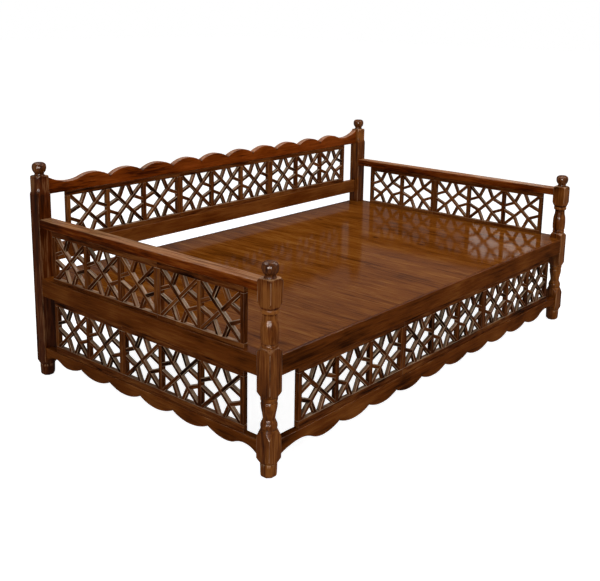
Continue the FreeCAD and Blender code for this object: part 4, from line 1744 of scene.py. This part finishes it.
    def module_frame(self, cells: int, width: float, rail: float) -> Object:
        """Frame of a module, standing on the XZ plane's origin.

        Args:
            cells: Number of cells.
            width: Width of a cell.
            rail: Height of its two rails.

        Returns:
            The frame.
        """
        half_t, total = self.frame_thickness / 2, self.cell_height + 2 * rail
        length = cells * width + (cells + 1) * self.frame_width
        members = [self.stick((0, -half_t, bottom), (length, half_t, top), Run.ALONG_X)
                   for bottom, top in ((0, rail), (total - rail, total))]
        for number in range(cells + 1):
            left = number * (width + self.frame_width)
            right = left + self.frame_width
            members.append(self.stick((left, -half_t, rail), (right, half_t, total - rail), Run.UPRIGHT))
        return self.bench.joined(members)

    def hung(self, model: Object, middle: Vector) -> Object:
        """Copies a cell's bar to its place in a module, with a seat, a grain and a tone of its own.

        Args:
            model: The bar in a cell on the origin.
            middle: Middle of the cell in the module.

        Returns:
            The copy.
        """
        dice, bar = self.bench.dice, self.bench.copy_of(model)
        sway = Vector((dice.uniform(-1, 1), 0, dice.uniform(-1, 1))) * self.sway
        bar.data.transform(Matrix.Translation(middle + sway))
        shift = Vector((dice.uniform(-5, 5), dice.uniform(-0.1, 0.1), dice.uniform(-0.1, 0.1)))
        tone = dice.uniform(*self.bar_tones)
        for place, shade in zip(bar.data.attributes[GRAIN].data, bar.data.attributes[TONE].data):
            place.vector = Vector(place.vector) + shift
            shade.value = tone
        return bar

    def make(self) -> None:
        """Makes and delivers every module's frame and bars."""
        models: dict[float, list[Object]] = {}
        for panel in self.panels():
            cells = sum(panel.modules.values())
            width = (2 * panel.half_run - (cells + len(panel.modules)) * self.frame_width) / cells
            rail = (panel.top - panel.bottom - self.cell_height) / 2
            key = round(width, 6)
            if key not in models:
                models[key] = self.cell(width)
            offset = -panel.half_run
            for part, count in panel.modules.items():
                made = [("_frame", self.module_frame(count, width, rail), panel.frame_tone, self.frame_wear)]
                bars = []
                for number in range(count):
                    x = self.frame_width + width / 2 + number * (width + self.frame_width)
                    middle = Vector((x, 0, rail + self.cell_height / 2))
                    bars += [self.hung(model, middle) for model in models[key]]
                made.append(("_bars", self.bench.joined(bars), panel.bar_tone, self.bar_wear))
                for kind, piece, tone, worn in made:
                    self.bench.lighten(piece, tone)
                    panel.set_down(piece, offset)
                    self.shop.deliver(piece, f"{panel.name}_{part}{kind}", Slot.LATTICE, worn=worn)
                offset += count * width + (count + 1) * self.frame_width
        for bar in (bar for bars in models.values() for bar in bars):
            bpy.data.objects.remove(bar)


@dataclass
class Deck(Assembly):
    """The boards that the daybed is lain on.

    Attributes:
        count: Number of boards.
        ease: Rounding of the boards.
        clearance: Gap between a board and the posts that it is cut out for.
        beyond: How far the cutting block stands past the board.
        tones: Range of the boards' lightness.
    """

    count: int = 12
    ease: float = 0.0004
    clearance: float = 0.0003
    beyond: float = 0.01
    tones: Pair = (-0.4, 0.4)

    def make(self) -> None:
        """Makes and delivers the boards."""
        plan, bench = self.plan, self.bench
        width = 2 * plan.deck_half_length / self.count
        for number in range(self.count):
            left = -plan.deck_half_length + number * width
            board = bench.block((left, -plan.deck_half_depth, plan.board_bottom),
                                (left + width, plan.deck_half_depth, plan.seat_top))
            if number in (0, self.count - 1):
                side = 1 if number else -1
                for way in (-1, 1):
                    tool = bench.block(
                        (side * (plan.inner_x - self.clearance), way * (plan.inner_y - self.clearance),
                         plan.board_bottom - self.beyond),
                        (side * (plan.half_length + self.beyond), way * (plan.half_depth + self.beyond),
                         plan.seat_top + self.beyond))
                    bench.hollow(board, tool)
            bench.ease(board, self.ease)
            bench.lay_grain(board, Run.ALONG_Y.way, bench.dice.uniform(*self.tones))
            self.shop.deliver(board, f"deck_board_{number + 1:02d}", Slot.DECK)


@dataclass
class CarriedNodes:
    """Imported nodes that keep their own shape: bearers, dowels and screws.

    Attributes:
        dressing: Material of each node.
    """

    dressing: dict[str, Material]

    def dress(self) -> None:
        """Gives each node its material."""
        for node, material in self.dressing.items():
            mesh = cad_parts[node].data
            if mesh.materials:
                for number in range(len(mesh.materials)):
                    mesh.materials[number] = material
            else:
                mesh.materials.append(material)
            log.info("%s keeps its shape", node)


# Studio

@dataclass(frozen=True)
class Lamp:
    """A soft rectangular lamp that faces the daybed.

    Attributes:
        name: Name of the lamp.
        place: Its place.
        size: Width and height of its rectangle.
        power: Its power in watts.
        sheen_only: Whether only the varnish mirrors it, as it would a window.
        aim: Point that it faces.
    """

    name: str
    place: Triple
    size: Pair
    power: float
    sheen_only: bool = False
    aim: Triple = (0.0, 0.0, 0.3)

    def hang(self) -> None:
        """Adds the lamp to the scene."""
        data = bpy.data.lights.new(self.name, "AREA")
        data.shape = "RECTANGLE"
        data.size, data.size_y = self.size
        data.energy = self.power
        data.color = (1.0, 0.94, 0.88) if self.sheen_only else WHITE[:3]
        lamp = bpy.data.objects.new(self.name, data)
        bpy.context.scene.collection.objects.link(lamp)
        lamp.location = self.place
        lamp.visible_diffuse = not self.sheen_only
        lamp.visible_camera = False
        lamp.rotation_euler = (Vector(self.aim) - Vector(self.place)).to_track_quat("-Z", "Y").to_euler()


@dataclass
class Studio:
    """Floor, lamps, world and camera.

    Attributes:
        eye: Place of the camera.
        yaw: Its turn about the upright axis.
        pitch: Its tilt up from level.
        roll: Its turn about its own axis.
        focal: Focal length in pixels.
        centre: Pixel that the lens points at.
        frame_size: Width and height of the picture in pixels.
        around: Strength of the light from all round.
        floor_grey: Share of the light that the floor throws back.
        floor_glow: Light that the floor adds where the camera sees it.
        lamps: The lamps, of which the windows only show as sheen.
    """

    eye: Triple = (-2.81648, -2.26131, 1.38913)
    yaw: float = -0.86614
    pitch: float = -0.20974
    roll: float = 0.01661
    focal: float = 896.80
    centre: Pair = (302.04, 200.5)
    frame_size: tuple[int, int] = (600, 581)
    around: float = 0.18
    floor_grey: float = 0.52
    floor_glow: float = 0.92
    lamps: tuple[Lamp, ...] = (
        Lamp("overhead", (0.5, 0.0, 3.4), (3.0, 2.4), 80.0),
        Lamp("left_fill", (-4.2, -1.6, 1.8), (1.2, 1.2), 56.0),
        Lamp("front_fill", (0.6, -4.6, 2.4), (2.0, 1.6), 63.0),
        Lamp("left_window", (-3.43, -2.12, 0.8), (3.3, 0.8), 760.0, sheen_only=True),
        Lamp("right_window", (1.1, -1.0, 2.9), (1.3, 2.0), 160.0, sheen_only=True),
        Lamp("back_window", (-1.1, 1.1, 2.9), (2.4, 1.3), 190.0, sheen_only=True),
        Lamp("low_window", (3.75, 1.12, 1.29), (0.60, 0.26), 2.6, sheen_only=True),
    )

    def camera(self) -> None:
        """Places the camera at the photograph's viewing angle."""
        width, height = self.frame_size
        data = bpy.data.cameras.new("camera")
        data.sensor_width = 36.0
        data.lens = self.focal / width * data.sensor_width
        data.shift_x = (width / 2 - self.centre[0]) / width
        data.shift_y = (self.centre[1] - height / 2) / width
        data.clip_end = 100.0
        camera = bpy.data.objects.new("camera", data)
        bpy.context.scene.collection.objects.link(camera)
        turn = Matrix.Rotation(self.yaw, 4, "Z") @ Matrix.Rotation(math.pi / 2 + self.pitch, 4, "X")
        camera.matrix_world = Matrix.Translation(self.eye) @ turn @ Matrix.Rotation(self.roll, 4, "Z")
        bpy.context.scene.camera = camera

    def world(self) -> None:
        """White background for the rays that show it, and softer light from all round."""
        world = bpy.data.worlds.new("studio")
        desk = Desk.cleared(world)
        path = desk.put("LightPath").outputs
        seen = desk.calc("MAXIMUM", path["Is Camera Ray"], path["Is Glossy Ray"])
        seen = desk.calc("MAXIMUM", seen, path["Is Transmission Ray"])
        around, white = (desk.put("Background", {"Color": WHITE, "Strength": strength}).outputs[0]
                         for strength in (self.around, 1.0))
        mixed = desk.put("MixShader", {0: seen, 1: around, 2: white})
        desk.put("OutputWorld", {"Surface": mixed.outputs[0]})
        bpy.context.scene.world = world

    def floor(self) -> None:
        """Plain pale floor that keeps the daybed's shadow and is white in the varnish."""
        bpy.ops.object.select_all(action="DESELECT")
        bpy.ops.mesh.primitive_plane_add(size=60.0, location=(0, 0, 0))
        floor = bpy.context.object
        floor.name = "floor"
        made = bpy.data.materials.new("pale_floor")
        desk = Desk.cleared(made)
        path = desk.put("LightPath").outputs
        plain = desk.put("BsdfDiffuse", {"Color": (self.floor_grey,) * 3 + (1.0,)})
        glow = desk.put("Emission", {"Strength": desk.calc("MULTIPLY", path["Is Camera Ray"], self.floor_glow)})
        lit = desk.put("AddShader", {0: plain.outputs[0], 1: glow.outputs[0]})
        mirrored = desk.calc("MAXIMUM", path["Is Glossy Ray"], path["Is Transmission Ray"])
        white = desk.put("Emission", {"Strength": 1.0})
        both = desk.put("MixShader", {0: mirrored, 1: lit.outputs[0], 2: white.outputs[0]})
        desk.put("OutputMaterial", {"Surface": both.outputs[0]})
        floor.data.materials.append(made)

    def make(self) -> None:
        """Sets the whole studio up."""
        bpy.context.scene.view_settings.view_transform = "Standard"
        self.floor()
        self.world()
        for lamp in self.lamps:
            lamp.hang()
        self.camera()


FINISHES = (
    WoodFinish("post_walnut", (44, 16, 1), (101, 51, 13), (138, 82, 34), (218, 176, 134),
               coat=0.07, top_coat=0.12, gloss=0.14, top_wear_and_light=0.5),
    WoodFinish("back_post_walnut", (42, 16, 2), (80, 33, 5), (126, 82, 48), (176, 132, 92),
               coat=0.05, top_coat=0.08, gloss=0.12),
    WoodFinish("knob_walnut", (48, 20, 5), (94, 50, 18), (136, 92, 56), (190, 150, 112),
               coat=0.10, top_coat=0.12, gloss=0.12, contrast=0.8),
    WoodFinish("rail_walnut", (44, 16, 0), (96, 47, 11), (126, 72, 28), (168, 118, 76),
               coat=0.02, top_coat=0.13, contrast=0.56),
    WoodFinish("crest_walnut", (56, 18, 0), (112, 48, 6), (136, 64, 18), (182, 142, 112),
               coat=0.02, top_coat=0.22, top_wear_and_light=0.75),
    WoodFinish("handrail_walnut", (58, 21, 2), (102, 42, 5), (130, 66, 20), (190, 142, 98),
               coat=0.02, top_coat=0.09, contrast=1.1, top_wear_and_light=0.66),
    WoodFinish("lattice_walnut", (24, 7, 0), (86, 41, 12), (122, 72, 32), (210, 178, 146),
               coat=0.02, top_coat=0.08, gloss=0.14, top_wear_and_light=0.62, top_wear_light_span=(0.15, 0.55)),
    WoodFinish("deck_walnut", (54, 23, 2), (108, 57, 13), (140, 88, 34), (128, 80, 38),
               top_coat=0.09, gloss=0.10, contrast=0.66),
    WoodFinish("bearer_walnut", (38, 18, 8), (82, 44, 22), (112, 66, 36), (112, 66, 36), run=Run.ALONG_X),
    WoodFinish("dowel_beech", (120, 88, 54), (168, 128, 84), (196, 158, 112), (196, 158, 112), run=Run.UPRIGHT),
)


def main() -> None:
    """Builds the daybed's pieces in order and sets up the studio."""
    logging.basicConfig(level=logging.INFO, format="%(name)s: %(message)s")
    timber, rubbed = TimberGroup().build(), WearAndPaintedLightGroup().build()
    woods = {finish.name: finish.material(timber, rubbed) for finish in FINISHES}
    finishes = {
        Slot.POST: woods["post_walnut"], Slot.RAIL: woods["rail_walnut"],
        Slot.LATTICE: woods["lattice_walnut"], Slot.DECK: woods["deck_walnut"],
    }
    special = {
        "left_handrail": woods["handrail_walnut"], "right_handrail": woods["handrail_walnut"],
        "crest_rail": woods["crest_walnut"], "back_left_post": woods["back_post_walnut"],
    }
    for corner in ("front_left", "front_right", "back_left", "back_right"):
        special[corner + "_knob"] = woods["knob_walnut"]
    shop, plan = Shop(Bench(seed=11), finishes, special), Plan()
    for assembly in (Posts, StraightRails, WavyRails, Lattices, Deck):
        assembly(shop, plan).make()
        log.info("%s done", assembly.__name__)
    CarriedNodes({
        "front_bearer": woods["bearer_walnut"], "back_bearer": woods["bearer_walnut"],
        "lattice_dowels": woods["dowel_beech"], "deck_screws": SteelFinish().material(),
    }).dress()
    Studio().make()
    log.info("%d pieces", shop.count)


if __name__ == "__main__":
    main()
